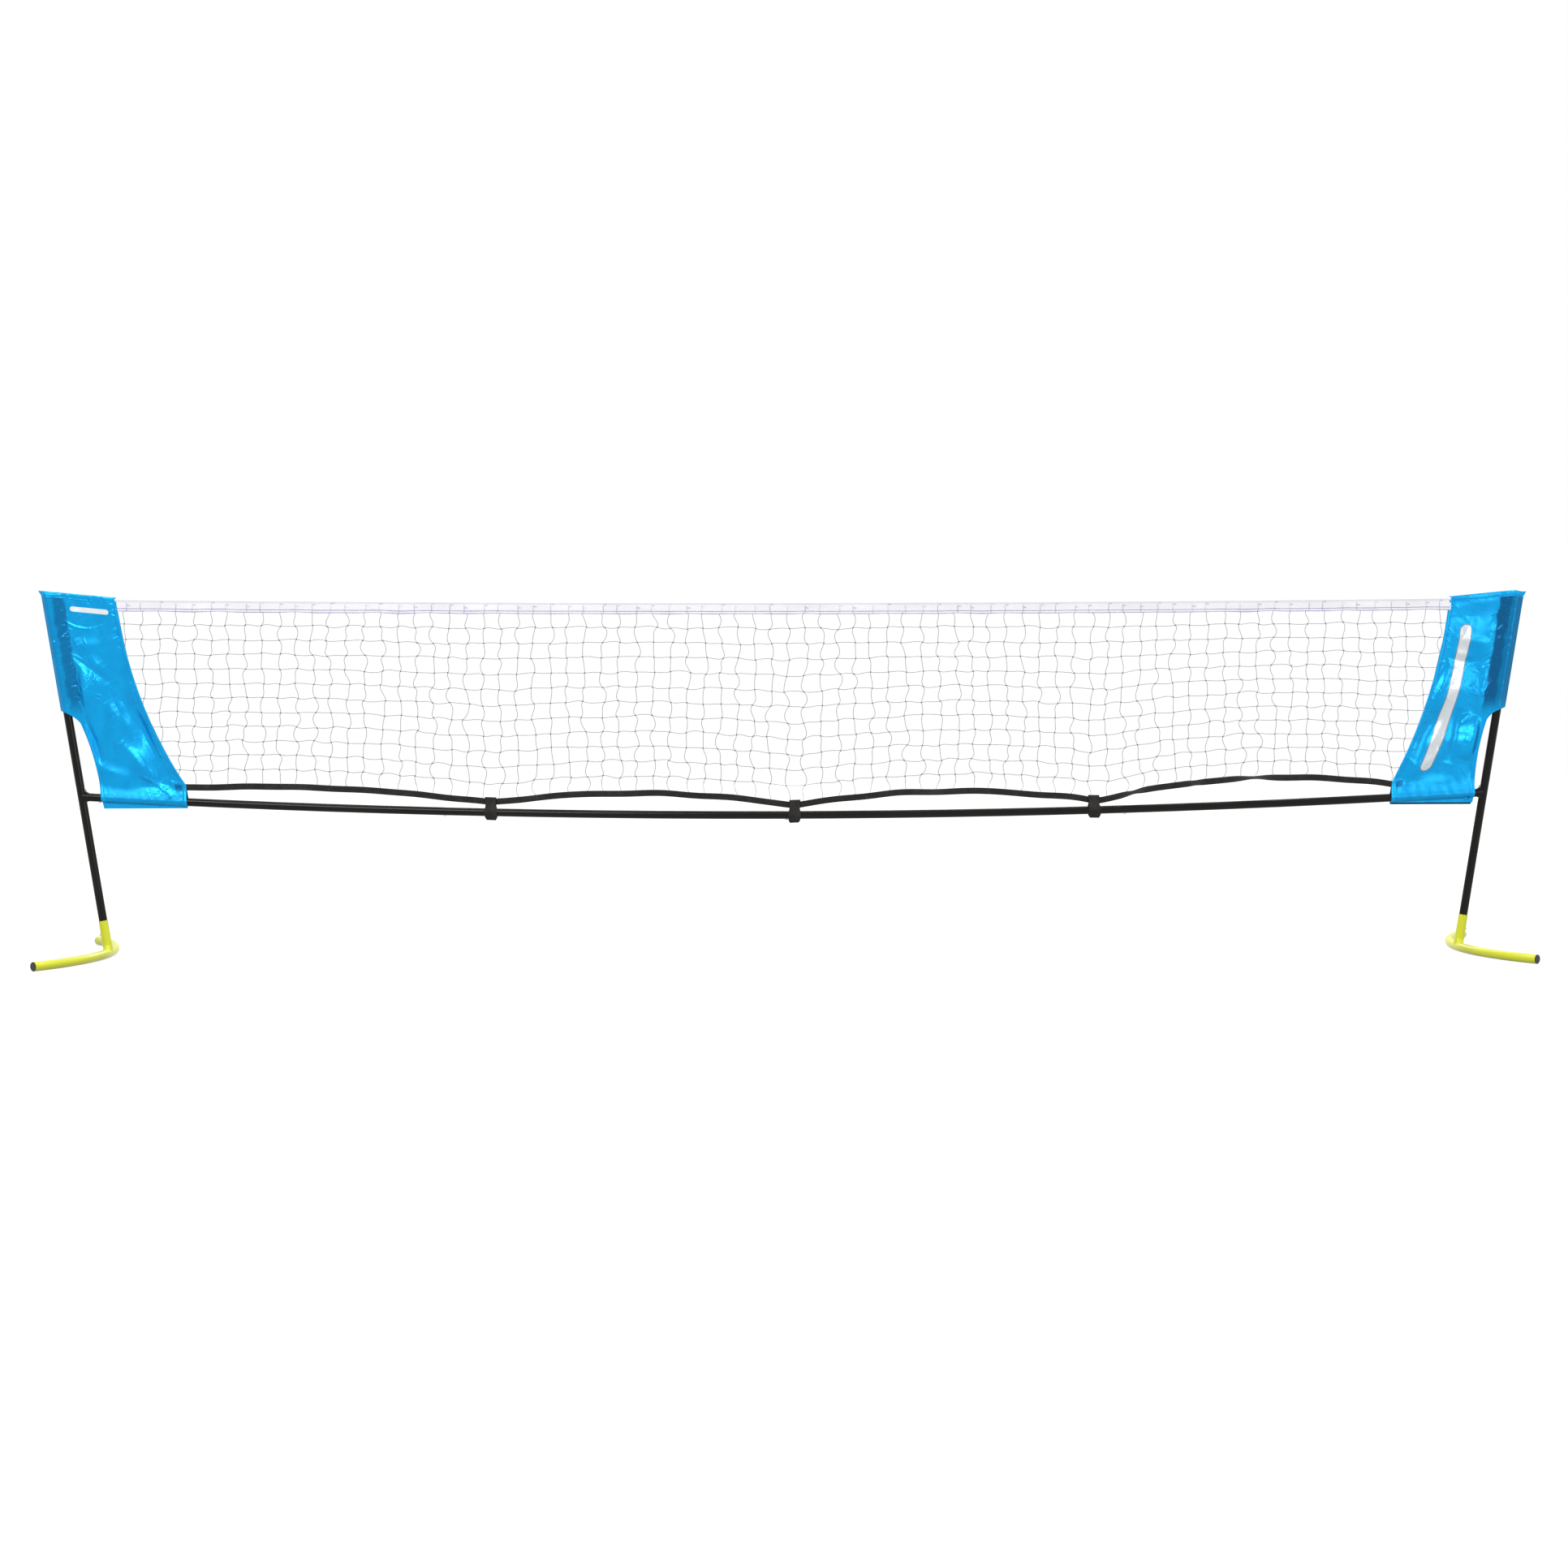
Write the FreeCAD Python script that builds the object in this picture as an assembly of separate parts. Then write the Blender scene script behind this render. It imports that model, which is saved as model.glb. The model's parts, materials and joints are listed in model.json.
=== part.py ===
"""Portable mini tennis net on a take-down tube frame.

X runs along the net, Y is depth, Z is up, and the origin is on the floor under the middle of the net.
Two curved floor tubes carry a socket each.  A leaning post stands in each socket, a bowed bar made of
four plugged tubes joins the posts, and the net hangs between two fabric sleeves that slip over the
posts and close round the bar.  Every plugged joint is held by a sprung snap button.
"""
import FreeCAD, Part
import math
import os

V = FreeCAD.Vector

# ---------------------------------------------------------------- driving dimensions, in millimetres
# frame as a whole
base_half_span = 1497.0      # middle of the net to a post's axis, at the floor tube's centre
lean = 8.8                   # degrees that each post leans outwards
bar_end_z = 354.0            # height of the bar's axis where it meets a post's axis
bow_sag = 45.0               # how far the bar's middle hangs below its ends
post_top_z = 794.0           # height of the post tube's upper end

# tubes
tube_od = 18.0               # posts, T sockets and bar
tube_wall = 1.2
fit_gap = 0.1                # radial room of a plugged end in its tube
joint_gap = 0.3              # end gap between a tube's mouth and the shoulder that meets it
insert_length = 60.0         # length of a plugged end
shoulder_length = 3.0        # swaged shoulder behind a plugged end
socket_reach = 76.0          # post's axis to the mouth of its T socket

# feet
foot_od = 20.0
foot_wall = 1.2
foot_radius = 383.0          # bend radius of a floor tube, at its centre line
foot_half_angle = 40.0       # degrees of bend from the socket to each tip
stub_top = 72.0              # length of a foot socket, from the floor tube's centre along the post
stub_wall = 0.9
post_seat_gap = 0.5          # post's lower end above the floor tube

# welds
weld_leg = 8.0               # how far a weld fillet runs along each tube
weld_half_width = 7.5        # half the width of a weld fillet across the tubes
weld_knee = 2.4              # fillet's middle, out from the corner where the tubes' surfaces meet
weld_toe_sink = 2.4          # fillet's toe under the crest of the tube that it stands on
weld_root = 4.0              # fillet's root under that crest
weld_overlap = 0.4           # fillet's root inside the standing tube's wall

# plugs and caps
plug_lip = 2.0
plug_lip_inset = 0.2         # lip's radius under the foot tube's radius
plug_stem = 16.0
plug_room = 0.2              # radial room of a plug's stem in the foot tube
cap_lip = 2.4
cap_stem = 15.0
cap_seat_gap = 0.1           # cap's lip above the post's end

# snap buttons and their springs
button_r = 3.5
button_gap = 0.2             # radial room of a button in its holes
button_stand = 2.6           # how far a button stands out of the outer tube
button_round = 2.45          # radius of a button's domed edge
button_flange_r = 4.3
button_flange_t = 0.8
flange_gap = 0.15            # flange under the inner wall, at its edges
joint_button_depth = 26.0    # bar tube's mouth to its button
socket_button_depth = 36.0   # T socket's mouth to its button
stub_button_depth = 30.0     # foot socket's mouth to its button
spring_t = 0.5
spring_w = 6.0
spring_length = 26.0         # button's axis to the bend of the spring
spring_gap = 0.1             # spring to flange and spring to wall
spring_nose = 1.2            # half the height of the spring's rounded bend
spring_nose_length = 1.0

# fabric sleeves
web_half = 1.2               # half the thickness of the two layers sewn together
pocket_gap = 0.6             # room between a tube and its pocket
pocket_wall = 1.2
post_pocket_depth = 42.0     # outer fold to the pocket's seam
bar_pocket_rise = 34.0       # bar's axis up to where the two layers meet
leg_gap = 1.1                # half the slot between the two closing legs
leg_wall = 1.2
hem_wall = 3.0               # closed top of a post pocket
button_room = 0.6            # room round the T socket's button, which sits under a sleeve
hem_rise = 0.0962            # rise of a sleeve's top edge for each unit outwards
hem_over_post = 10.3         # top edge above the post's upper end, on the post's axis
sleeve_top_width = 148.4     # post's axis to the inner edge, at the top
net_corner_in = 216.8        # post's axis to the inner edge's lower corner, at the bar
net_corner_rise = 23.0       # that corner above the bar's end
foot_flare = 3.5             # inner edge runs in this much further from that corner to the foot
leg_drop = 26.0              # bar's end down to the sleeve's foot
foot_out_in = 37.8           # post's axis to the foot's outer corner, at the bar
bend_out = 5.0               # outer edge leans out this much up to the bend above the bar
bend_rise = 22.0
mouth_rise = 187.5           # bar's end up to the post pocket's mouth
swing_in = 37.0              # where the outer edge swings out to the mouth: this far in from the fold
swing_drop = 25.5
swing_bow = 4.2              # how far each curved edge stands off the straight line between its ends
outer_bow = 6.6
right_inner_bow = 21.3
left_inner_bow = 26.0
front_leg_lift = 4.0         # front leg ends this much higher, so the fastener strip shows
right_slip = 11.0            # how far each sleeve's foot has slid along the bar, outwards
left_slip = -11.0
slip_share = 0.2             # share of the slip that the swing's lower end follows
strip_half_t = 0.8           # hook fastener strip
strip_height = 10.5
strip_inset = 2.0            # strip's ends inside the sleeve's foot
soft_gap = 0.3               # clearance round sewn pieces

# net, tapes, cord and straps
head_tape_drop = 6.0         # post's upper end down to the head tape's ends
head_tape_height = 27.0
head_tape_sag = 8.0
head_tape_half = 3.0
head_tape_wall = 0.7
head_cord_r = 2.0
foot_tape_height = 14.0
foot_tape_half = 0.75
foot_tape_rise = 19.0        # bar's end up to the middle of the foot tape, where it enters a sleeve
strap_x = (-655.0, 14.5, 680.0)
span_rise = (14.0, 22.0, 24.0, 30.0)   # how far the foot tape arches up over each span
strap_width = 27.0
strap_wall = 1.6
strap_gap = 0.3
strap_top_r = 1.8            # inside radius of a strap's upper fold
tape_over_bar = 23.0         # bar's axis to the middle of the foot tape, at a strap
mesh_pitch = 37.2
mesh_rows = 12
twine = 1.6
smallest_hole = 25.0         # square millimetres; cut meshes below this stay closed

# ---------------------------------------------------------------- values that follow
tube_r = tube_od / 2
bore_r = tube_r - tube_wall
plug_r = bore_r - fit_gap
plug_bore_r = plug_r - tube_wall
foot_r = foot_od / 2
lean_rad = math.radians(lean)
bar_half_span = base_half_span + (bar_end_z - foot_r) * math.tan(lean_rad)
bow_radius = (bar_half_span ** 2 + bow_sag ** 2) / (2 * bow_sag)
bow_centre = V(0, 0, bar_end_z - bow_sag + bow_radius)
bar_low_z = bar_end_z - bow_sag
socket_mouth = bar_half_span - socket_reach
bar_tubes = 4
tube_length = (2 * socket_mouth + (bar_tubes + 1) * insert_length) / bar_tubes
post_length = (post_top_z - foot_r) / math.cos(lean_rad)
pocket_r = tube_r + pocket_gap
pocket_out_r = pocket_r + pocket_wall
leg_half = leg_gap + leg_wall
head_inner = head_tape_half - head_tape_wall
post_top_x = base_half_span + (post_top_z - foot_r) * math.tan(lean_rad)
head_tape_end_z = post_top_z - head_tape_drop
foot_tape_end_z = bar_end_z + foot_tape_rise
sleeve_bottom_z = bar_end_z - leg_drop
mouth_z = bar_end_z + mouth_rise
strap_rise = foot_tape_height / 2 + strap_gap + strap_wall + soft_gap   # foot tape's middle to over a strap

HOME = V(0, 0, 0)
UP = V(0, 0, 1)
BOW_AXIS = V(0, -1, 0)
REACH = 40.0                 # half depth of trimming blocks, more than any sleeve is deep
PAST = 1.0                   # how far a cutter runs past what it cuts
FINE = 0.01                  # step that keeps a fused ring off the surface of its tube


# ---------------------------------------------------------------- helpers
def bow_z(x):
    """Height of the bar's axis at x."""
    return bow_centre.z - math.sqrt(bow_radius ** 2 - x ** 2)


def bow_degrees(x):
    return math.degrees(math.asin(x / bow_radius))


def bow_sweep(face, x0, x1):
    """Carry a face that stands at x = 0, round the bar's axis, along the bow from x0 to x1."""
    start = face.copy()
    start.rotate(bow_centre, BOW_AXIS, bow_degrees(x0))
    return start.revolve(bow_centre, BOW_AXIS, bow_degrees(x1) - bow_degrees(x0))


def holed_face(wires):
    """Flat face inside the first wire, with the other wires as its holes."""
    return Part.makeFace(wires, "Part::FaceMakerBullseye")


def rings(radii, centre, direction):
    return [Part.Wire(Part.makeCircle(r, centre, direction)) for r in radii if r > 0]


def bow_tube(r_out, r_in, x0, x1):
    """Tube along the bow, or a rod where r_in is 0."""
    return bow_sweep(holed_face(rings((r_out, r_in), V(0, 0, bar_low_z), V(1, 0, 0))), x0, x1)


def other_side(shape):
    """The same piece at the other end of the net: half a turn about the vertical."""
    turned = shape.copy()
    turned.rotate(HOME, UP, 180)
    return turned


def on_post(shape):
    """Place a shape built along +Z, with +X outwards, on the right-hand post's axis."""
    placed = shape.copy()
    placed.rotate(HOME, V(0, 1, 0), lean)
    placed.translate(V(base_half_span, 0, foot_r))
    return placed


def frame_of(origin, along, out):
    """Placement that takes +X to along and +Z to out."""
    across = out.cross(along)
    return FreeCAD.Placement(origin, FreeCAD.Rotation(along, across, out, "ZXY"))


def placed(shape, placement):
    copy = shape.copy()
    copy.Placement = placement.multiply(copy.Placement)
    return copy


def plate(edges, half):
    """Closed outline in the X-Z plane, given thickness on both sides of y = 0."""
    face = Part.Face(Part.Wire(edges))
    face.translate(V(0, -half, 0))
    return face.extrude(V(0, 2 * half, 0))


def xz(x, z):
    return V(x, 0, z)


def line(a, b):
    return Part.LineSegment(a, b).toShape()


def arc(a, mid, b):
    return Part.Arc(a, mid, b).toShape()


def block(x0, x1, y0, y1, z0, z1):
    return Part.makeBox(x1 - x0, y1 - y0, z1 - z0, V(x0, y0, z0))


def bowed_arc(a, b, bow):
    """Arc from a to b that stands off their straight line by bow, to the left on the way."""
    ahead = (b - a).normalize()
    return arc(a, (a + b) * 0.5 + V(-ahead.z, 0, ahead.x) * bow, b)


def circle_through(a, b, c):
    """Centre and radius of the circle through three points (x, z)."""
    d = 2 * (a[0] * (b[1] - c[1]) + b[0] * (c[1] - a[1]) + c[0] * (a[1] - b[1]))
    sa, sb, sc = (p[0] ** 2 + p[1] ** 2 for p in (a, b, c))
    x = (sa * (b[1] - c[1]) + sb * (c[1] - a[1]) + sc * (a[1] - b[1])) / d
    z = (sa * (c[0] - b[0]) + sb * (a[0] - c[0]) + sc * (b[0] - a[0])) / d
    return x, z, math.hypot(a[0] - x, a[1] - z)


def ribbon(points, thickness, width):
    """Flat strip bent along a polyline in X-Z, centred on y = 0."""
    sides = {1: [], -1: []}
    for i, (x, z) in enumerate(points):
        before = points[max(i - 1, 0)]
        after = points[min(i + 1, len(points) - 1)]
        directions = []
        for p, q in ((before, (x, z)), ((x, z), after)):
            length = math.hypot(q[0] - p[0], q[1] - p[1])
            if length > 0:
                directions.append(((q[0] - p[0]) / length, (q[1] - p[1]) / length))
        nx = sum(-d[1] for d in directions)
        nz = sum(d[0] for d in directions)
        size = math.hypot(nx, nz)
        nx, nz = nx / size, nz / size
        mitre = thickness / 2 / (nx * -directions[0][1] + nz * directions[0][0])
        for side in sides:
            sides[side].append(xz(x + side * nx * mitre, z + side * nz * mitre))
    loop = sides[1] + sides[-1][::-1]
    face = Part.Face(Part.makePolygon(loop + loop[:1]))
    face.translate(V(0, -width / 2, 0))
    return face.extrude(V(0, width, 0))


# ---------------------------------------------------------------- snap buttons and springs
def snap_button(inner_r, outer_r):
    """Domed button with a flange: axis +Z from the tube's axis, inner_r and outer_r of the tube pair."""
    seat = math.sqrt(inner_r ** 2 - button_flange_r ** 2) - flange_gap
    low = seat - button_flange_t
    head = Part.makeCylinder(button_r, outer_r + button_stand - low, V(0, 0, low))
    head = head.makeFillet(button_round, [edge for edge in head.Edges if edge.BoundBox.ZMin > seat])
    flange = Part.makeCylinder(button_flange_r, button_flange_t, V(0, 0, low))
    return head.fuse(flange), low


def snap_spring(inner_r, flange_bottom):
    """V of spring strip: one leg under the button's flange, the other on the far wall."""
    upper = flange_bottom - spring_gap - spring_t / 2
    lower = -math.sqrt(inner_r ** 2 - (spring_w / 2) ** 2) + spring_gap + spring_t / 2
    bend = (lower + upper) / 2
    nose = spring_length - spring_nose_length
    return ribbon([(-button_flange_r, upper), (button_flange_r, upper), (nose, bend + spring_nose),
                   (spring_length, bend), (nose, bend - spring_nose), (button_flange_r, lower),
                   (-button_flange_r, lower)], spring_t, spring_w)


def button_hole(outer_r):
    return Part.makeCylinder(button_r + button_gap, outer_r + PAST, HOME, UP)


# ---------------------------------------------------------------- feet
def foot_point(degrees, y_sign=1):
    """Point and outward direction along the floor tube's centre line, from its middle to a tip."""
    a = math.radians(degrees)
    point = V(base_half_span + foot_radius * (1 - math.cos(a)), y_sign * foot_radius * math.sin(a), foot_r)
    return point, V(math.sin(a), y_sign * math.cos(a), 0)


def foot_sweep(r_out, r_in=0.0, extra=0.0):
    """Floor tube or rod along its bend, from tip to tip."""
    start, direction = foot_point(foot_half_angle + extra, -1)
    centre = V(base_half_span + foot_radius, 0, foot_r)
    return holed_face(rings((r_out, r_in), start, direction)).revolve(centre, V(0, 0, -1), 2 * (foot_half_angle + extra))


def weld_fillet(tube_radius, host_radius):
    """Concave weld round a tube along +Z that stands on a host tube along Y, kept to a band across."""
    root, toe = host_radius - weld_root, host_radius - weld_toe_sink
    top = host_radius + weld_leg
    outer = tube_radius + weld_leg
    inner = tube_radius - weld_overlap
    middle = xz(tube_radius + weld_knee, host_radius + weld_knee)
    edges = [line(xz(inner, root), xz(outer, root)),
             line(xz(outer, root), xz(outer, toe)),
             arc(xz(outer, toe), middle, xz(tube_radius, top)),
             line(xz(tube_radius, top), xz(inner, top)),
             line(xz(inner, top), xz(inner, root))]
    ring = Part.Face(Part.Wire(edges)).revolve(HOME, UP, 360)
    return ring.common(block(-weld_half_width, weld_half_width, -REACH, REACH, 0, 2 * top))


def make_foot():
    arc_tube = foot_sweep(foot_r, foot_r - foot_wall)
    stub_inner = foot_r - stub_wall
    stub = Part.makeCylinder(foot_r, stub_top).fuse(weld_fillet(foot_r, foot_r)).removeSplitter()
    stub = stub.cut(Part.makeCylinder(stub_inner, stub_top + PAST))
    hole = button_hole(foot_r)
    hole.rotate(HOME, V(0, 1, 0), 90)
    hole.translate(V(0, 0, stub_top - stub_button_depth))
    stub = on_post(stub.cut(hole)).cut(foot_sweep(foot_r))
    return arc_tube, stub


def foot_plugs():
    plugs = []
    for y_sign in (1, -1):
        tip, direction = foot_point(foot_half_angle, y_sign)
        lip = Part.makeCylinder(foot_r - plug_lip_inset, plug_lip, tip, direction)
        lip = lip.makeFillet(plug_lip / 2, [lip.Edges[0]])
        stem = Part.makeCylinder(foot_r - foot_wall - plug_room, plug_stem, tip, direction * -1)
        plugs.append(lip.fuse(stem))
    return Part.makeCompound(plugs)


# ---------------------------------------------------------------- posts and T sockets
def make_post():
    low = foot_r + post_seat_gap
    tube = Part.makeCylinder(tube_r, post_length - low, V(0, 0, low))
    tube = tube.cut(Part.makeCylinder(bore_r, post_length, HOME))
    hole = button_hole(tube_r)
    hole.rotate(HOME, V(0, 1, 0), 90)
    hole.translate(V(0, 0, stub_top - stub_button_depth))
    return on_post(tube.cut(hole))


def post_cap():
    seat = post_length + cap_seat_gap
    lip = Part.makeCylinder(tube_r, cap_lip, V(0, 0, seat))
    lip = lip.makeFillet(cap_lip / 2, [lip.Edges[0]])
    stem = Part.makeCylinder(bore_r - fit_gap, cap_stem, V(0, 0, seat - cap_stem))
    return on_post(lip.fuse(stem))


def socket_frame():
    """Placement of the T socket: +Z from the post's axis towards the bar, +Y across the net."""
    post = V(bar_half_span, 0, bar_end_z)
    mouth = V(socket_mouth, 0, bow_z(socket_mouth))
    out = (mouth - post).normalize()
    return frame_of(post, out.cross(V(0, 1, 0)) * -1, out)


def make_socket():
    reach = V(socket_mouth, 0, bow_z(socket_mouth)).distanceToPoint(V(bar_half_span, 0, bar_end_z))
    fillet = weld_fillet(tube_r, tube_r)
    fillet.rotate(HOME, UP, 90)
    body = Part.makeCylinder(tube_r, reach).fuse(fillet).removeSplitter()
    body = body.cut(Part.makeCylinder(bore_r, reach + PAST))
    body = placed(body, socket_frame())
    body = body.cut(placed(button_hole(tube_r), button_frame(socket_mouth + socket_button_depth, -1)))
    return body.cut(on_post(Part.makeCylinder(tube_r, post_length)))


# ---------------------------------------------------------------- bar
def mouths():
    """x of each female mouth along the bar, from the left T socket to the right one."""
    exposed = tube_length - insert_length
    first = -socket_mouth + tube_length - 2 * insert_length
    return [-socket_mouth, first, first + exposed, first + 2 * exposed, socket_mouth]


def button_frame(x, along_sign):
    """Frame of a bar button at x: +Z points down, square to the bar, +X along it."""
    a = math.asin(x / bow_radius)
    tangent = V(math.cos(a), 0, math.sin(a)) * along_sign
    down = V(math.sin(a), 0, -math.cos(a))
    return frame_of(V(x, 0, bow_z(x)), tangent, down)


def bar_buttons():
    """x of each bar button, and which way along the bar its plugged tube runs back."""
    at = mouths()
    inner = [(at[i] + joint_button_depth, -1) for i in (1, 2, 3)]
    return [(at[0] - socket_button_depth, 1)] + inner + [(at[4] + socket_button_depth, -1)]


def bar_tube(number):
    """Tube 1 is plugged at both ends; tubes 2 to 4 take a plug on the left and plug in on the right."""
    at = mouths()
    left, right = at[number - 1], at[number]
    if number == 1:
        left += joint_gap
    right -= joint_gap
    body = bow_tube(tube_r, bore_r, left, right)
    body = body.fuse(bow_tube(tube_r - FINE, plug_bore_r, right - shoulder_length, right))
    body = body.fuse(bow_tube(plug_r, plug_bore_r, right - shoulder_length, right + insert_length - joint_gap))
    if number == 1:
        body = body.fuse(bow_tube(tube_r - FINE, plug_bore_r, left, left + shoulder_length))
        body = body.fuse(bow_tube(plug_r, plug_bore_r, left - insert_length + joint_gap, left + shoulder_length))
    for x, along in bar_buttons():
        if left - insert_length < x < right + insert_length:
            body = body.cut(placed(button_hole(tube_r), button_frame(x, along)))
    return body


# ---------------------------------------------------------------- fabric sleeves
def teardrop(r, apex):
    """Closed wire round the origin in X-Y: a circle with a tangent point drawn out to x = -apex."""
    a = math.acos(r / apex)
    touch = (-r * math.cos(a), r * math.sin(a))
    point = V(-apex, 0, 0)
    upper, lower = V(touch[0], touch[1], 0), V(touch[0], -touch[1], 0)
    return Part.Wire([line(point, upper), arc(upper, V(r, 0, 0), lower), line(lower, point)])


def hem_line(x):
    """Height of a sleeve's top edge at x."""
    return post_top_z + hem_over_post + (x - post_top_x) * hem_rise


def hem_point(x):
    return xz(x, hem_line(x))


def sleeve_corners(slip):
    """Corners of a sleeve's inner edge: top, lower corner and foot."""
    corner = xz(bar_half_span - net_corner_in + slip, bar_end_z + net_corner_rise)
    return (hem_point(post_top_x - sleeve_top_width), corner,
            xz(corner.x - foot_flare, sleeve_bottom_z))


def sleeve_outline(slip, inner_bow):
    """Outline of a right-hand sleeve; past the post it only has to clear the pocket's fold."""
    top, corner, foot = sleeve_corners(slip)
    fold_x = base_half_span + (mouth_z - foot_r) * math.tan(lean_rad) + pocket_out_r / math.cos(lean_rad)
    mouth = xz(fold_x, mouth_z)
    swing = xz(fold_x - swing_in + slip_share * slip, mouth_z - swing_drop)
    foot_out = xz(bar_half_span - foot_out_in + slip, sleeve_bottom_z)
    bend = xz(foot_out.x + bend_out, sleeve_bottom_z + bend_rise)
    past_fold = xz(fold_x + REACH, mouth_z + REACH * hem_rise)
    far_top = hem_point(post_top_x + pocket_out_r + REACH)
    return [line(top, far_top),
            line(far_top, past_fold),
            line(past_fold, mouth),
            bowed_arc(mouth, swing, -swing_bow),
            bowed_arc(swing, bend, outer_bow),
            line(bend, foot_out),
            line(foot_out, foot),
            line(foot, corner),
            bowed_arc(corner, top, -inner_bow)]


def post_drop(r):
    apex = (post_pocket_depth - pocket_out_r) * r / pocket_out_r
    return on_post(Part.Face(teardrop(r, apex)).extrude(V(0, 0, post_length + REACH)))


def bar_drop(r, x0, x1):
    """Teardrop round the bar, drawn out upwards, swept along the bow."""
    face = Part.Face(teardrop(r, bar_pocket_rise * r / pocket_out_r))
    face.rotate(HOME, V(0, 1, 0), 90)
    face.translate(V(0, 0, bar_low_z))
    return bow_sweep(face, x0, x1)


def leg_band(half, x0, x1):
    """Upright band from the bar's axis down past the sleeve's foot, swept along the bow."""
    low = bar_low_z - leg_drop - REACH
    corners = [V(0, -half, low), V(0, half, low), V(0, half, bar_low_z), V(0, -half, bar_low_z)]
    return bow_sweep(Part.Face(Part.makePolygon(corners + corners[:1])), x0, x1)


def make_sleeve(slip, inner_bow):
    outline = sleeve_outline(slip, inner_bow)
    foot = sleeve_corners(slip)[-1]
    inside, outside = foot.x - REACH, bar_half_span + slip
    netward = on_post(block(-base_half_span, 0, -REACH, REACH, 0, post_length + REACH))
    body = plate(outline, web_half).common(netward)
    for solid in (post_drop(pocket_out_r), bar_drop(pocket_out_r, inside, outside),
                  leg_band(leg_half, inside, outside)):
        body = body.fuse(solid)
    body = body.common(plate(outline, REACH))
    near, far = hem_point(post_top_x - 2 * REACH), hem_point(post_top_x + 2 * REACH)
    down = V(0, 0, -hem_wall)
    below = [near + down, far + down, xz(far.x, 0), xz(near.x, 0)]
    under_hem = plate([line(below[i], below[(i + 1) % 4]) for i in range(4)], REACH)
    body = body.cut(post_drop(pocket_r).common(under_hem))
    body = body.cut(bar_drop(pocket_r, inside, outside))
    body = body.cut(leg_band(leg_gap, inside, outside))
    low = sleeve_bottom_z - REACH
    body = body.cut(block(inside, outside, -REACH, 0, low, sleeve_bottom_z + front_leg_lift))
    room = Part.makeCylinder(button_r + button_room, tube_r + button_stand + button_room, HOME, UP)
    body = body.cut(placed(room, button_frame(socket_mouth + socket_button_depth, -1)))
    return max(body.Solids, key=lambda solid: solid.Volume)


def hook_strip(slip):
    """Black fastener strip between the two closing legs under the bar."""
    foot = sleeve_corners(slip)[-1]
    foot_out_x = bar_half_span - foot_out_in + slip
    strip = block(foot.x + strip_inset, foot_out_x - strip_inset, -strip_half_t, strip_half_t,
                  sleeve_bottom_z, sleeve_bottom_z + strip_height)
    return strip.cut(bow_tube(pocket_r, 0, foot.x - REACH, foot_out_x + REACH))


# ---------------------------------------------------------------- net, tapes and straps
def side_x(z, side):
    """x of a sleeve's curved inner edge at height z, for the right-hand (1) or left-hand (-1) one."""
    slip, bow = (right_slip, right_inner_bow) if side > 0 else (left_slip, left_inner_bow)
    top, corner, _ = sleeve_corners(slip)
    half = (top - corner).Length / 2
    radius = (half ** 2 + bow ** 2) / (2 * bow)
    inward = V(corner.z - top.z, 0, top.x - corner.x).normalize()
    centre = (top + corner) * 0.5 + inward * (radius - bow)
    return centre.x + math.sqrt(max(radius ** 2 - (z - centre.z) ** 2, 0))


def side_at(z, side):
    return side * (side_x(z, side) - soft_gap)


def tape_end_x(side):
    """x at which the foot tape stops, just short of a sleeve's lower corner."""
    _, corner, foot = sleeve_corners(right_slip if side > 0 else left_slip)
    share = (foot_tape_end_z - foot_tape_height / 2 - foot.z) / (corner.z - foot.z)
    return side * (foot.x + share * (corner.x - foot.x) - soft_gap)


def foot_tape_spans():
    """Straight stretch in each strap and an arch between: (x0, z0, x1, z1, rise) from left to right."""
    half = strap_width / 2 + strap_gap
    marks = [(tape_end_x(-1), foot_tape_end_z)]
    for x in strap_x:
        z = bow_z(x) + tape_over_bar
        marks += [(x - half, z), (x + half, z)]
    marks.append((tape_end_x(1), foot_tape_end_z))
    spans = []
    for i in range(len(marks) - 1):
        (x0, z0), (x1, z1) = marks[i], marks[i + 1]
        spans.append((x0, z0, x1, z1, span_rise[i // 2] if i % 2 == 0 else 0.0))
    return spans


def span_edge(span, lift, backwards=False):
    """One span's edge, moved up by lift."""
    x0, z0, x1, z1, rise = span
    a, b = xz(x0, z0 + lift), xz(x1, z1 + lift)
    if backwards:
        a, b = b, a
    if rise == 0:
        return line(a, b)
    return arc(a, xz((x0 + x1) / 2, (z0 + z1) / 2 + rise + lift), b)


def foot_tape():
    spans = foot_tape_spans()
    half = foot_tape_height / 2
    lower = [span_edge(s, -half) for s in spans]
    upper = [span_edge(s, half, True) for s in reversed(spans)]
    x0, z0, x1, z1 = spans[0][0], spans[0][1], spans[-1][2], spans[-1][3]
    edges = lower + [line(xz(x1, z1 - half), xz(x1, z1 + half))] + upper
    return plate(edges + [line(xz(x0, z0 + half), xz(x0, z0 - half))], foot_tape_half)


def head_z(x, drop):
    """Height of the head tape's top edge at x, less drop."""
    half = side_at(head_tape_end_z, 1)
    return head_tape_end_z - drop - head_tape_sag * (1 - (x / half) ** 2)


def head_arc(x0, x1, drop):
    return arc(xz(x0, head_z(x0, drop)), xz((x0 + x1) / 2, head_z((x0 + x1) / 2, drop)), xz(x1, head_z(x1, drop)))


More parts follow.
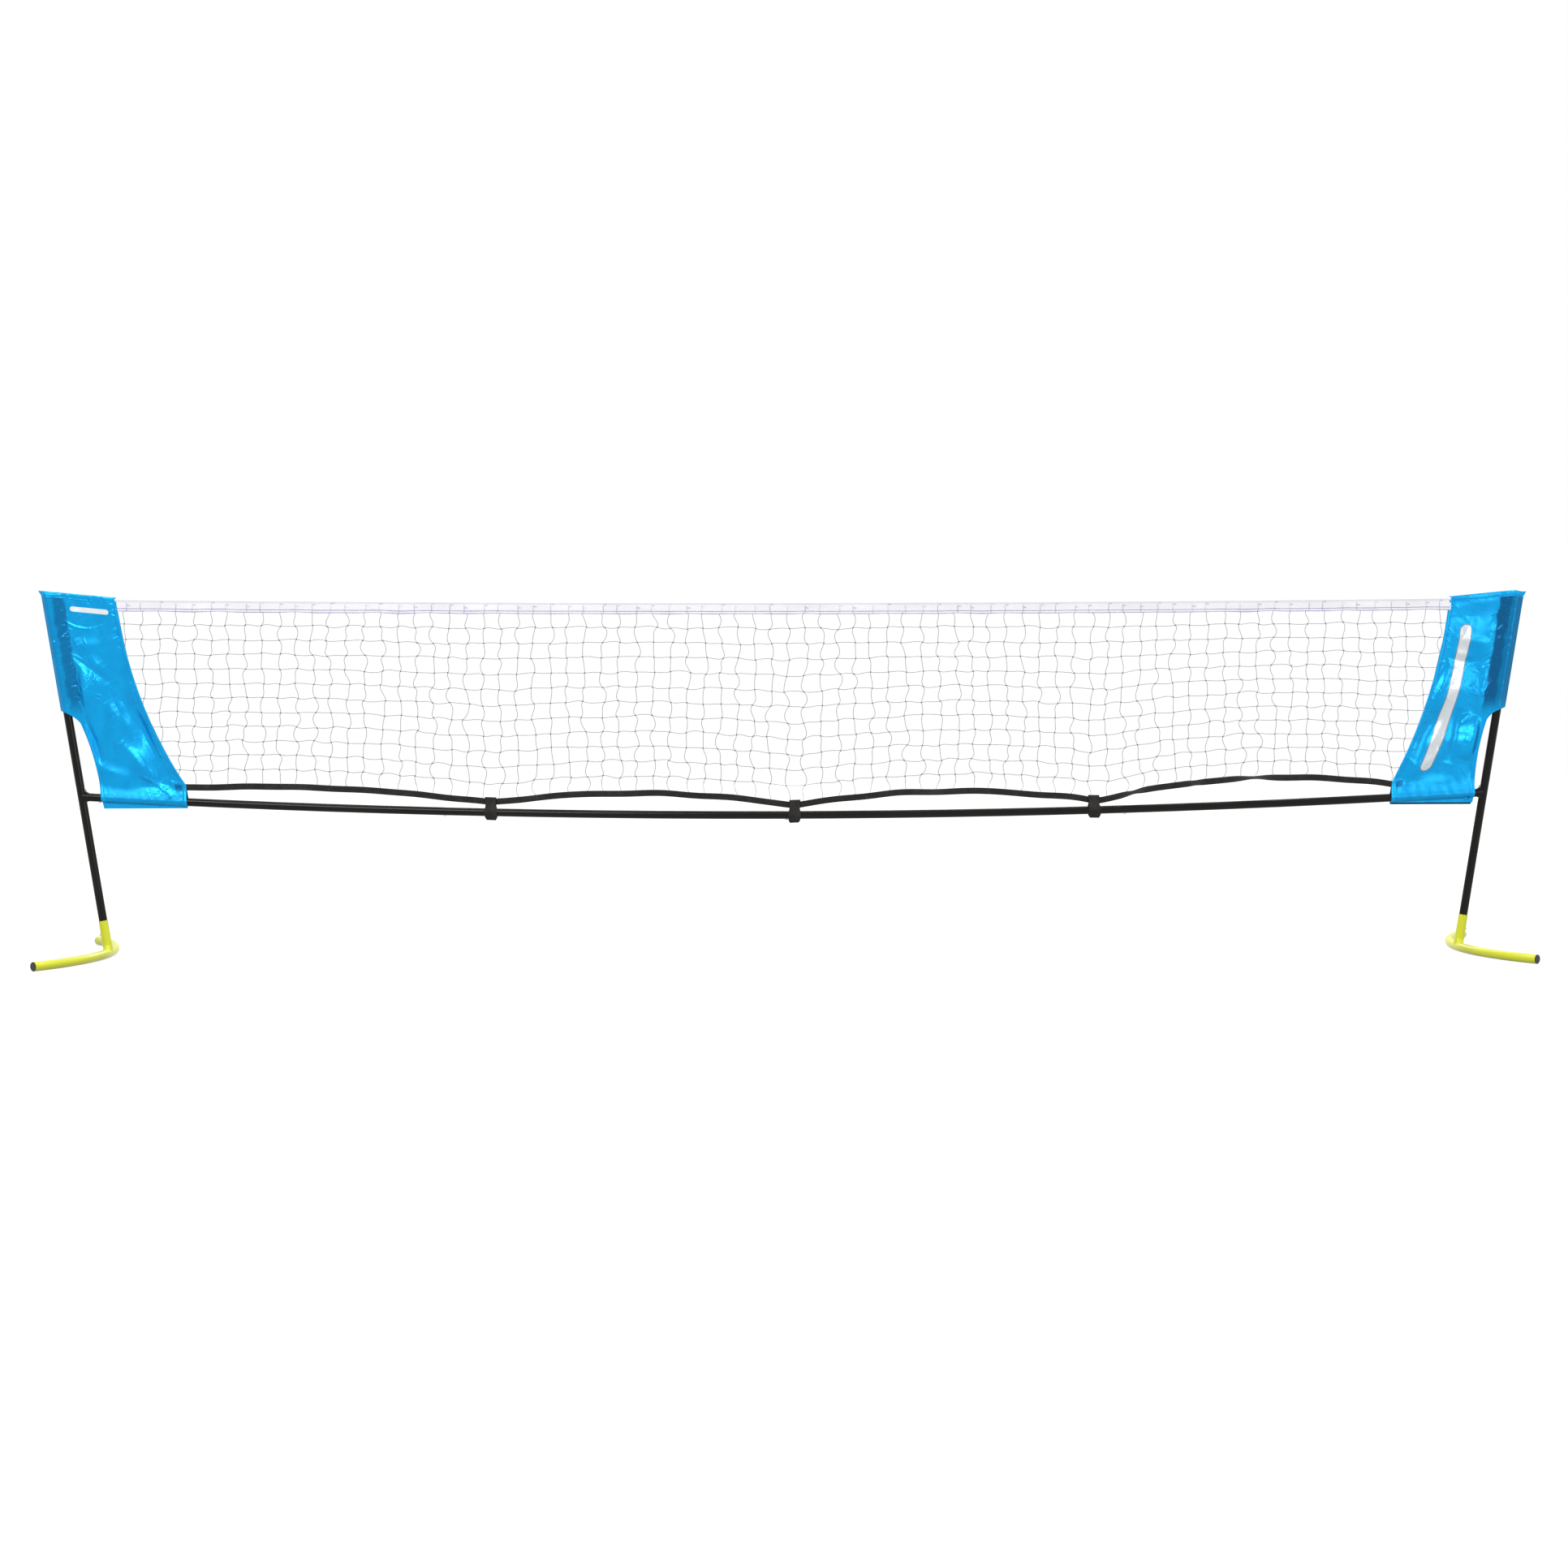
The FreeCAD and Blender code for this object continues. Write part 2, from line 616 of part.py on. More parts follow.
def head_plate(top_drop, bottom_drop, half, spare=0.0):
    left_top, right_top = side_at(head_tape_end_z, -1) - spare, side_at(head_tape_end_z, 1) + spare
    low = head_tape_end_z - head_tape_height
    left_low, right_low = side_at(low, -1) - spare, side_at(low, 1) + spare
    edges = [head_arc(left_low, right_low, bottom_drop),
             line(xz(right_low, head_z(right_low, bottom_drop)), xz(right_top, head_z(right_top, top_drop))),
             head_arc(right_top, left_top, top_drop),
             line(xz(left_top, head_z(left_top, top_drop)), xz(left_low, head_z(left_low, bottom_drop)))]
    return plate(edges, half)


def head_tape():
    """Tape folded over the head cord and the net's top edge, open below."""
    outer = head_plate(0.0, head_tape_height, head_tape_half)
    return outer.cut(head_plate(head_tape_wall, head_tape_height + PAST, head_inner, spare=PAST))


def head_cord():
    drop = head_tape_wall + soft_gap + head_cord_r
    left, right = side_at(head_tape_end_z - drop, -1), side_at(head_tape_end_z - drop, 1)
    path = head_arc(left + soft_gap, right - soft_gap, drop)
    start = path.valueAt(path.FirstParameter)
    section = Part.Wire(Part.makeCircle(head_cord_r, start, path.tangentAt(path.FirstParameter)))
    return Part.Wire([path]).makePipeShell([section], True, False)


def strap(x):
    """Closed loop of webbing round the bar and the foot tape."""
    def loop(bar_radius, top_radius):
        rise = tape_over_bar + foot_tape_height / 2 + strap_gap - strap_top_r
        low, high = V(0, 0, bar_low_z), V(0, 0, bar_low_z + rise)
        a = math.asin((bar_radius - top_radius) / rise)
        c, s = math.cos(a), math.sin(a)
        p = [V(0, bar_radius * c, low.z + bar_radius * s), V(0, top_radius * c, high.z + top_radius * s),
             V(0, -top_radius * c, high.z + top_radius * s), V(0, -bar_radius * c, low.z + bar_radius * s)]
        return Part.Wire([line(p[0], p[1]), arc(p[1], V(0, 0, high.z + top_radius), p[2]), line(p[2], p[3]),
                          arc(p[3], V(0, 0, low.z - bar_radius), p[0])])
    inner = tube_r + strap_gap
    section = holed_face([loop(inner + strap_wall, strap_top_r + strap_wall), loop(inner, strap_top_r)])
    return bow_sweep(section, x - strap_width / 2, x + strap_width / 2)


def span_z(x):
    """Height of the foot tape's middle at x, and whether x lies in a strap."""
    for x0, z0, x1, z1, rise in foot_tape_spans():
        if x <= x1 or x1 == foot_tape_spans()[-1][2]:
            if rise == 0:
                return z0, True
            cx, cz, r = circle_through((x0, z0), ((x0 + x1) / 2, (z0 + z1) / 2 + rise), (x1, z1))
            return cz + math.sqrt(r ** 2 - (min(max(x, x0), x1) - cx) ** 2), False


def clip(polygon, a, b):
    """Part of a polygon to the left of the line from a to b."""
    def side(p):
        return (b[0] - a[0]) * (p[1] - a[1]) - (b[1] - a[1]) * (p[0] - a[0])
    kept = []
    for i, p in enumerate(polygon):
        q = polygon[(i + 1) % len(polygon)]
        if side(p) >= 0:
            kept.append(p)
        if side(p) * side(q) < 0:
            t = side(p) / (side(p) - side(q))
            kept.append((p[0] + t * (q[0] - p[0]), p[1] + t * (q[1] - p[1])))
    return kept


def area(polygon):
    pairs = zip(polygon, polygon[1:] + polygon[:1])
    return abs(sum(p[0] * q[1] - q[0] * p[1] for p, q in pairs)) / 2


def mesh_row_z(x, row, in_strap):
    """Height of a row of twine at x; row 0 lies on the foot tape and the last row under the head tape."""
    low = span_z(x)[0] + foot_tape_height / 2 + soft_gap
    if in_strap and row == 0:
        low += strap_rise - foot_tape_height / 2 - soft_gap
    return low + (head_z(x, head_tape_height) - low) * row / mesh_rows


def mesh_holes():
    """Openings of the net: columns upright, rows between the tapes, cut off along the sleeves."""
    half = twine / 2
    columns = int(2 * bar_half_span / mesh_pitch)
    reach = strap_width / 2 + 2 * strap_gap + twine
    holes = []
    for column in range(-columns // 2, columns // 2 + 1):
        x0, x1 = column * mesh_pitch + half, (column + 1) * mesh_pitch - half
        near_strap = any(x0 < x + reach and x1 > x - reach for x in strap_x)
        for row in range(mesh_rows):
            cell = [(x0, mesh_row_z(x0, row, near_strap) + half), (x1, mesh_row_z(x1, row, near_strap) + half),
                    (x1, mesh_row_z(x1, row + 1, False) - half), (x0, mesh_row_z(x0, row + 1, False) - half)]
            low, high = min(p[1] for p in cell) - PAST, max(p[1] for p in cell) + PAST
            for side in (-1, 1):
                a, b = [(side_at(z, side) - side * twine, z) for z in ((low, high) if side > 0 else (high, low))]
                cell = clip(cell, a, b) if cell else cell
            if len(cell) > 2 and area(cell) > smallest_hole:
                holes.append(cell)
    return holes


def net():
    """Knotted square mesh as one flat lattice, its borders laid along the tapes and the sleeves."""
    half = foot_tape_height / 2
    bottom = []
    spans = foot_tape_spans()
    lift = half + soft_gap
    for i, span in enumerate(spans):
        if span[4] == 0:
            low, high = span[1] + lift, span[1] + strap_rise
            bottom += [line(xz(span[0], low), xz(span[0], high)), line(xz(span[0], high), xz(span[2], high)),
                       line(xz(span[2], high), xz(span[2], low))]
        else:
            bottom.append(span_edge(span, lift))
    left_low, right_low = bottom[0].Vertexes[0].Point, bottom[-1].Vertexes[-1].Point
    drop = head_tape_wall + 2 * head_cord_r + 2 * soft_gap
    top_z = head_tape_end_z - drop
    left_top_x, right_top_x = side_at(top_z - PAST, -1), side_at(top_z - PAST, 1)
    left_top, right_top = xz(left_top_x, head_z(left_top_x, drop)), xz(right_top_x, head_z(right_top_x, drop))
    left_side, right_side = (xz(side_at(left_low.z, side), left_low.z) for side in (-1, 1))
    middle = (left_low.z + left_top.z) / 2
    edges = bottom + [line(right_low, right_side),
                      arc(right_side, xz(side_at(middle, 1), middle), right_top),
                      arc(right_top, xz(0, head_z(0, drop)), left_top),
                      arc(left_top, xz(side_at(middle, -1), middle), left_side),
                      line(left_side, left_low)]
    wires = [Part.Wire(edges)]
    for hole in mesh_holes():
        loop = [xz(x, z) for x, z in hole]
        wires.append(Part.makePolygon(loop + loop[:1]))
    face = holed_face(wires)
    face.translate(V(0, -twine / 2, 0))
    return face.extrude(V(0, twine, 0))


# ---------------------------------------------------------------- every node
def build():
    nodes = {}
    foot_tube, stub = make_foot()
    pairs = {"foot_tube": foot_tube, "foot_socket": stub, "foot_plugs": foot_plugs(), "post": make_post(),
             "post_cap": post_cap(), "t_socket": make_socket()}
    for name, shape in pairs.items():
        nodes[name + "_right"] = shape
        nodes[name + "_left"] = other_side(shape)
    for number in range(1, bar_tubes + 1):
        nodes["bar_tube_%d" % number] = bar_tube(number)

    button, flange_bottom = snap_button(plug_bore_r, tube_r)
    spring = snap_spring(plug_bore_r, flange_bottom)
    places = ("bar_left_end", "bar_joint_1", "bar_joint_2", "bar_joint_3", "bar_right_end")
    for place, (x, along) in zip(places, bar_buttons()):
        nodes["snap_button_" + place] = placed(button, button_frame(x, along))
        nodes["snap_spring_" + place] = placed(spring, button_frame(x, along))
    button, flange_bottom = snap_button(bore_r, foot_r)
    spring = snap_spring(bore_r, flange_bottom)
    for name, shape in (("snap_button_foot", button), ("snap_spring_foot", spring)):
        shape = placed(shape, frame_of(V(0, 0, stub_top - stub_button_depth), UP, V(1, 0, 0)))
        nodes[name + "_right"] = on_post(shape)
        nodes[name + "_left"] = other_side(on_post(shape))

    nodes["sleeve_right"] = make_sleeve(right_slip, right_inner_bow)
    nodes["sleeve_left"] = other_side(make_sleeve(left_slip, left_inner_bow))
    nodes["hook_strip_right"] = hook_strip(right_slip)
    nodes["hook_strip_left"] = other_side(hook_strip(left_slip))
    nodes["head_tape"] = head_tape()
    nodes["head_cord"] = head_cord()
    nodes["foot_tape"] = foot_tape()
    nodes["net"] = net()
    for name, x in zip(("left", "middle", "right"), strap_x):
        nodes["strap_" + name] = strap(x)
    return nodes


os.makedirs("parts", exist_ok=True)
for node, shape in build().items():
    print(node, shape.ShapeType, len(shape.Solids), round(shape.Volume, 1), shape.isValid())
    shape.exportStep("parts/%s.step" % node)
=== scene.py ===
# %% [markdown]
# A mini tennis net on a take-down tube frame.
#
# The frame of tubes, sockets, buttons and plugs comes ready made, at its real size, and only gets
# its finishes here.  What is sewn or knotted is modelled: two satin sleeves, the tape along the top
# of the net, the webbing along its foot, three straps round the bar, and the knotted net itself.
# The springs behind the snap buttons are remade too, as copies of the frame's own.

# %% Load the frame
import json
import math

import bmesh
import bpy
import numpy as np
from mathutils import Matrix, Vector


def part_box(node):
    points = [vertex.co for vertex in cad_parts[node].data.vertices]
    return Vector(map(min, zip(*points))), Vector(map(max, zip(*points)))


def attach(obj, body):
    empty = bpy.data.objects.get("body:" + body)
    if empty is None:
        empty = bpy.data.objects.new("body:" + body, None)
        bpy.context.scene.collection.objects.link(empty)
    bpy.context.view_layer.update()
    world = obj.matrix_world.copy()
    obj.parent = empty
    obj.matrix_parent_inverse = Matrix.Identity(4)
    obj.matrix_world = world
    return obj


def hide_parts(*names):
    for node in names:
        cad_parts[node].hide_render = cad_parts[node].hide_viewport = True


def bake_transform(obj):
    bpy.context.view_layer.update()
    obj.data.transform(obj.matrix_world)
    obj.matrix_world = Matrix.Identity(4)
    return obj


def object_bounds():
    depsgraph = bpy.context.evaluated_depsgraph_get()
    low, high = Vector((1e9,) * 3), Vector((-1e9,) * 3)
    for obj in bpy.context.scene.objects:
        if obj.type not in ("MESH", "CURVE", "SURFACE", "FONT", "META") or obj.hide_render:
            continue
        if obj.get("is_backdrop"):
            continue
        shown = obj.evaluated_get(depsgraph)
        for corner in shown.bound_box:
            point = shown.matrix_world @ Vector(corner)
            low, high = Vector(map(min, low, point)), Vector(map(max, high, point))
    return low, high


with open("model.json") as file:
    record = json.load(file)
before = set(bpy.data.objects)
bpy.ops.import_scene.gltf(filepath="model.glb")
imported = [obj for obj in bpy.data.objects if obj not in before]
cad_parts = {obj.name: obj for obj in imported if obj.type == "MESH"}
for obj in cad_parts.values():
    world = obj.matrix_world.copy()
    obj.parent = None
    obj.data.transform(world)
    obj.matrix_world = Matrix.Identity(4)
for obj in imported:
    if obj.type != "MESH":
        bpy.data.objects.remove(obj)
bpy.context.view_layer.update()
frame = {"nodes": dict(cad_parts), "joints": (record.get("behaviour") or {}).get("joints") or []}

NODES = frame["nodes"]
print("pieces in the frame:", len(NODES))


# %% [markdown]
# Every sewn piece hangs on the tubes, so the tubes' own measures come first.  A post is a straight
# tube that leans outwards.  The bar is bowed: its axis is an arc of one large circle whose lowest
# point is midway between the posts.  The lean and the sag are given, and the rest is read off the
# boxes of the loaded pieces.

# %% Where the tubes are
LEAN = math.radians(8.8)
BOW_SAG = 0.045
post_low, post_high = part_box("post_right")
TUBE_R = (post_high.y - post_low.y) / 2
POST_TOP_X = post_high.x - TUBE_R * math.cos(LEAN)
POST_TOP_Z = post_high.z - TUBE_R * math.sin(LEAN)
BAR_LOW_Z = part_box("bar_tube_3")[0].z + TUBE_R


def post_x(z):
    """A post's axis at height z: a straight line that leans out by LEAN."""
    return POST_TOP_X - (POST_TOP_Z - z) * math.tan(LEAN)


def from_post(x, z):
    """Distance from a post's axis, square to it, and positive outwards."""
    return (x - post_x(z)) * math.cos(LEAN)


BAR_END_X = post_x(BAR_LOW_Z + BOW_SAG)
BOW_R = (BAR_END_X ** 2 + BOW_SAG ** 2) / (2 * BOW_SAG)


def bar_z(x):
    """The bar's axis at x: the lower arc of a circle of radius BOW_R, centred over the middle."""
    return BAR_LOW_Z + BOW_R - np.sqrt(BOW_R ** 2 - np.square(x))


print("tube radius %.4f, bar from %.3f to %.3f high" % (TUBE_R, bar_z(0.0), bar_z(BAR_END_X)))


# %% [markdown]
# Cloth is never smooth.  Two small formulas give it life: ripples, a sum of long waves in chosen
# directions, and a fold, a ridge along a bent line that dies out at both ends.  Both work on whole
# arrays, so a sheet of fifty thousand points takes a moment.

# %% Ripples, folds and soft steps
def smooth(value, low, high):
    """0 below low, 1 above high, and an S-curve between: 3t^2 - 2t^3."""
    t = np.clip((value - low) / (high - low), 0, 1)
    return t * t * (3 - 2 * t)


def soft_max(a, b, round_off):
    """The larger of a and b, rounded where they meet: (a + b + sqrt((a-b)^2 + r^2)) / 2."""
    return (a + b + np.sqrt((a - b) ** 2 + round_off ** 2)) / 2


def ripples(a, b, wave, seed, count=7, spread=math.pi):
    """Sum of count sine waves over (a, b), of about that wave length, at seeded turns and phases."""
    random = np.random.default_rng(seed)
    total = np.zeros(np.broadcast(a, b).shape)
    for _ in range(count):
        turn = random.uniform(-spread, spread) / 2
        length = wave * random.uniform(0.7, 1.5)
        along = a * math.cos(turn) + b * math.sin(turn)
        total += np.sin(2 * math.pi * along / length + random.uniform(0, 2 * math.pi))
    return total / math.sqrt(count)


def fold(x, z, start, end, bend, width, height):
    """Ridge from start to end: height * exp(-(d / width)^2) * sin(pi t)^0.6, where t runs along it
    and d is the distance from a parabola that stands off by bend halfway."""
    (x0, z0), (x1, z1) = start, end
    length = math.hypot(x1 - x0, z1 - z0)
    ux, uz = (x1 - x0) / length, (z1 - z0) / length
    t = ((x - x0) * ux + (z - z0) * uz) / length
    inside = np.clip(t, 0, 1)
    d = (x - x0) * -uz + (z - z0) * ux - 4 * bend * inside * (1 - inside)
    off_the_end = (t - inside) * length
    ridge = np.exp(-(d ** 2 + off_the_end ** 2) / width ** 2)
    return height * ridge * np.sin(math.pi * inside) ** 0.6


print("halfway along a fold it stands", fold(0.5, 0.0, (0, 0), (1, 0), 0.0, 0.1, 1.0))


# %% [markdown]
# A surface is a grid of points.  The helper below joins each point to its neighbours with quads,
# closes the grid round on itself where asked, and stores a UV map and any named attributes, so that
# a weave or a print can follow the cloth.

# %% From a grid of points to a mesh
SAME_PLACE = 1e-6            # points closer than this are one


def grid_faces(rows, columns, wrap_rows=False, wrap_columns=False, flip=False):
    """Four corners of each quad of a rows x columns grid, as an array of point numbers."""
    r = np.arange(rows if wrap_rows else rows - 1)[:, None]
    c = np.arange(columns if wrap_columns else columns - 1)[None, :]
    r1, c1 = (r + 1) % rows, (c + 1) % columns
    quads = np.stack([r * columns + c, r * columns + c1, r1 * columns + c1, r1 * columns + c], -1)
    quads = quads.reshape(-1, 4)
    return quads[:, ::-1] if flip else quads


print("a grid of 3 by 4 points has", len(grid_faces(3, 4)), "quads")


# %% From arrays to a piece
def new_object(name, data):
    """Object of that name for the data, at the origin of the scene."""
    made = bpy.data.objects.new(name, data)
    bpy.context.scene.collection.objects.link(made)
    return made


def merge_points(mesh, outwards=False):
    """Make points that share a place one, and turn the faces outwards where asked."""
    shell = bmesh.new()
    shell.from_mesh(mesh)
    bmesh.ops.remove_doubles(shell, verts=shell.verts, dist=SAME_PLACE)
    if outwards:
        bmesh.ops.recalc_face_normals(shell, faces=shell.faces)
    shell.to_mesh(mesh)
    shell.free()


def piece(name, points, quads, uv=None, attributes=None, weld=False):
    """New object with its mesh made from arrays: points (n, 3), quads (m, 4), uv (n, 2).  With weld,
    points that share a place become one."""
    points = np.asarray(points, np.float32).reshape(-1, 3)
    quads = np.asarray(quads, np.int32)
    mesh = bpy.data.meshes.new(name)
    mesh.vertices.add(len(points))
    mesh.vertices.foreach_set("co", points.ravel())
    mesh.loops.add(quads.size)
    mesh.loops.foreach_set("vertex_index", quads.ravel())
    mesh.polygons.add(len(quads))
    mesh.polygons.foreach_set("loop_start", np.arange(0, quads.size, 4, dtype=np.int32))
    mesh.update(calc_edges=True)
    mesh.polygons.foreach_set("use_smooth", np.ones(len(quads), bool))
    if uv is not None:
        layer = mesh.uv_layers.new(name="cloth")
        layer.data.foreach_set("uv", np.asarray(uv, np.float32).reshape(-1, 2)[quads.ravel()].ravel())
    for key, values in (attributes or {}).items():
        layer = mesh.attributes.new(key, "FLOAT", "POINT")
        layer.data.foreach_set("value", np.asarray(values, np.float32).ravel())
    mesh.validate()
    if weld:
        merge_points(mesh)
    return new_object(name, mesh)


def joined(parts):
    """Several (points, quads) pairs as one pair, with the later quads' numbers moved up."""
    start, points, quads = 0, [], []
    for p, q in parts:
        p = np.asarray(p).reshape(-1, 3)
        points.append(p)
        quads.append(np.asarray(q) + start)
        start += len(p)
    return np.concatenate(points), np.concatenate(quads)


def dress(made, material, slot, *replaced):
    """Give a new piece its finish, let it ride with the frame and stand for the nodes named."""
    made.data.materials.append(material)
    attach(made, "frame")
    if replaced:
        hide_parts(*replaced)
    print("%s: %d faces" % (made.name, len(made.data.polygons)))
    return made


print("two joined squares have", len(joined([(np.zeros((4, 3)), [[0, 1, 2, 3]])] * 2)[0]), "points")


# %% [markdown]
# Materials are small node trees.  Each helper adds one node and returns it, and a link joins two
# sockets.  Numbers that are the same all over a surface go straight on the shader's own sockets.

# %% Material helpers
def new_material(name, **sockets):
    """Node material whose shader starts with the given socket values."""
    material = bpy.data.materials.new(name)
    material.use_nodes = True
    shader = material.node_tree.nodes["Principled BSDF"]
    for key, value in sockets.items():
        shader.inputs[key.replace("_", " ")].default_value = value
    return material, shader


def node(material, kind, settings=None, **sockets):
    """New node of that kind; settings are its properties, the rest its input values."""
    made = material.node_tree.nodes.new("ShaderNode" + kind)
    for key, value in (settings or {}).items():
        setattr(made, key, value)
    for key, value in sockets.items():
        made.inputs[key.replace("_", " ")].default_value = value
    return made


def link(material, source, target):
    """Join an output socket to an input socket."""
    material.node_tree.links.new(source, target)


def feed(material, value, socket):
    """Link value where it is a socket, or else store it as the socket's own value."""
    if isinstance(value, bpy.types.NodeSocket):
        link(material, value, socket)
    else:
        socket.default_value = value


def read_at(material, made, where="object"):
    """Tell a node which place it reads: "object" for Object coordinates, "cloth" for the cloth's
    own UV map, or any socket."""
    if where == "object":
        where = node(material, "TexCoord").outputs["Object"]
    elif where == "cloth":
        where = node(material, "UVMap", {"uv_map": "cloth"}).outputs["UV"]
    link(material, where, made.inputs["Vector"])
    return made


def maths(material, operation, *values):
    """Result of a Math node on sockets or plain numbers."""
    made = node(material, "Math", {"operation": operation})
    for value, socket in zip(values, made.inputs):
        feed(material, value, socket)
    return made.outputs[0]


print("input sockets can be fed from a number or from a socket")


# %% Patterns
def noise(material, scale, detail=3.0, roughness=0.55, where="object"):
    """Noise from 0 to 1; scale is in features a metre."""
    made = node(material, "TexNoise", Scale=scale, Detail=detail, Roughness=roughness)
    return read_at(material, made, where).outputs["Fac"]


def bands(material, scale, distortion, where="object"):
    """Slanting bands from 0 to 1, as in a plait or a diagonal weave."""
    made = node(material, "TexWave", {"wave_type": "BANDS", "bands_direction": "DIAGONAL"},
                Scale=scale, Distortion=distortion, Detail=1.0)
    return read_at(material, made, where).outputs["Fac"]


def attribute(material, name):
    """A number that the mesh stores at each point."""
    return node(material, "Attribute", {"attribute_name": name}).outputs["Fac"]


def ramp(material, source, low, high, low_value=0.0, high_value=1.0):
    """Map source from low..high to low_value..high_value, held at both ends."""
    made = node(material, "MapRange", From_Min=low, From_Max=high, To_Min=low_value, To_Max=high_value)
    link(material, source, made.inputs["Value"])
    return made.outputs["Result"]


print("patterns run from 0 to 1")


# %% Colours, relief and whole finishes
def blend_colours(material, share, first, second):
    """Mix of two colours; share, first and second are sockets or plain values."""
    made = node(material, "Mix", {"data_type": "RGBA"})
    for number, value in ((0, share), (6, first), (7, second)):
        feed(material, value, made.inputs[number])
    return made.outputs[2]


def bump(material, height, depth, strength, onto=None):
    """Bump of that depth in metres; onto is an earlier bump to add to."""
    made = node(material, "Bump", Distance=depth, Strength=strength)
    link(material, height, made.inputs["Height"])
    if onto is not None:
        link(material, onto, made.inputs["Normal"])
    return made.outputs["Normal"]


def finish(name, colours, colour_range, pattern, relief=None, **sockets):
    """A material whose base colour goes between two colours as pattern(material) goes through
    colour_range.  Where relief is given, its depth and strength raise the same pattern."""
    material, shader = new_material(name, **sockets)
    height = pattern(material)
    colour = blend_colours(material, ramp(material, height, *colour_range), *colours)
    link(material, colour, shader.inputs["Base Color"])
    if relief:
        link(material, bump(material, height, *relief), shader.inputs["Normal"])
    return material


print("a finish is two colours, a pattern and its relief")


# %% [markdown]
# The stage is a white floor and a white surround.  White shows only to the camera and in
# reflections, through Light Path, so it throws no extra light on the object.  The floor keeps part
# of its shading, so the feet still stand in their own soft shadow, and glows more further out, so
# that it runs into the surround with no horizon.

# %% Floor and surround
FLOOR_HALF, FLOOR_STEPS = 9.0, 9
FLOOR_GREY = (0.34, 0.34, 0.34, 1)
WHITE = (1, 1, 1, 1)
GLOW_FROM, GLOW_TO = 1.6, 4.5      # metres from the middle over which the floor's glow grows
GLOW_NEAR, GLOW_FAR = 0.74, 0.97
AMBIENT = 0.42


def seen_or_reflected(material):
    """1 for camera, glossy and transmission rays, 0 for light that bounces."""
    path = node(material, "LightPath").outputs
    either = maths(material, "MAXIMUM", path["Is Camera Ray"], path["Is Glossy Ray"])
    return maths(material, "MAXIMUM", either, path["Is Transmission Ray"])


floor_material, floor_shader = new_material("white floor", Roughness=0.9, Specular_IOR_Level=0.1,
                                            Base_Color=FLOOR_GREY, Emission_Color=WHITE)
distance = read_at(floor_material, node(floor_material, "VectorMath", {"operation": "LENGTH"}))
glow = ramp(floor_material, distance.outputs["Value"], GLOW_FROM, GLOW_TO, GLOW_NEAR, GLOW_FAR)
link(floor_material, maths(floor_material, "MULTIPLY", seen_or_reflected(floor_material), glow),
     floor_shader.inputs["Emission Strength"])
side_steps = np.linspace(-FLOOR_HALF, FLOOR_HALF, FLOOR_STEPS)
floor_points = np.stack(np.meshgrid(side_steps, side_steps, [0.0]), -1).reshape(-1, 3)
floor = piece("studio_floor", floor_points, grid_faces(FLOOR_STEPS, FLOOR_STEPS, flip=True))
floor.data.materials.append(floor_material)
floor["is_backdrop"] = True

world = bpy.data.worlds.new("studio")
bpy.context.scene.world = world
world.use_nodes = True
background = world.node_tree.nodes["Background"]
background.inputs["Color"].default_value = WHITE
link(world, ramp(world, seen_or_reflected(world), 0, 1, AMBIENT, 1.0), background.inputs["Strength"])
print("floor: %g m square" % (2 * FLOOR_HALF))


# %% [markdown]
# Four soft lamps: a key from the front and above, a weaker fill from the other side, a long narrow
# one overhead, which draws the thin bright line along the top of every round tube, and one behind.

# %% Lamps
def soft_lamp(name, place, target, size, power):
    """Rectangular lamp at place, aimed at target; size is (width, height) in metres."""
    lamp = bpy.data.lights.new(name, "AREA")
    lamp.shape = "RECTANGLE"
    lamp.size, lamp.size_y = size
    lamp.energy = power
    made = new_object(name, lamp)
    made.location = place
    made.rotation_euler = (Vector(target) - Vector(place)).to_track_quat("-Z", "Y").to_euler()
    print("lamp %s: %g W" % (name, power))


soft_lamp("key", (-1.6, -3.6, 3.4), (0, 0, 0.5), (2.4, 1.6), 130)
soft_lamp("fill", (3.6, -3.4, 1.8), (0.3, 0, 0.5), (2.2, 2.2), 55)
soft_lamp("overhead", (0.0, 0.4, 3.0), (0, 0, 0.4), (4.4, 0.5), 60)
soft_lamp("rear", (0.5, 4.2, 2.6), (0, 0, 0.4), (3.5, 1.5), 60)


# %% [markdown]
# The camera stands five metres off, level with the middle of the net, and looks slightly down.

# %% Camera
CAMERA_PLACE = Vector((-0.129, -5.0, 0.588))
CAMERA_YAW, CAMERA_PITCH, CAMERA_ROLL = (math.radians(a) for a in (1.38, -2.41, -0.12))
LENS, SENSOR_WIDTH = 51.97, 36.0       # millimetres
right = Vector((math.cos(CAMERA_YAW), -math.sin(CAMERA_YAW), 0))
ahead = Vector((math.sin(CAMERA_YAW) * math.cos(CAMERA_PITCH),
                math.cos(CAMERA_YAW) * math.cos(CAMERA_PITCH), math.sin(CAMERA_PITCH)))
up = right.cross(ahead)
rolled_right = right * math.cos(CAMERA_ROLL) + up * math.sin(CAMERA_ROLL)
rolled_up = up * math.cos(CAMERA_ROLL) - right * math.sin(CAMERA_ROLL)
turn = Matrix((rolled_right, rolled_up, -ahead)).transposed().to_4x4()
camera_data = bpy.data.cameras.new("camera")
camera_data.lens, camera_data.sensor_width = LENS, SENSOR_WIDTH
camera = new_object("camera", camera_data)
camera.matrix_world = Matrix.Translation(CAMERA_PLACE) @ turn
bpy.context.scene.camera = camera
bpy.context.scene.view_settings.view_transform = "Standard"
print("camera: %.2f m from the middle of the net" % CAMERA_PLACE.length)


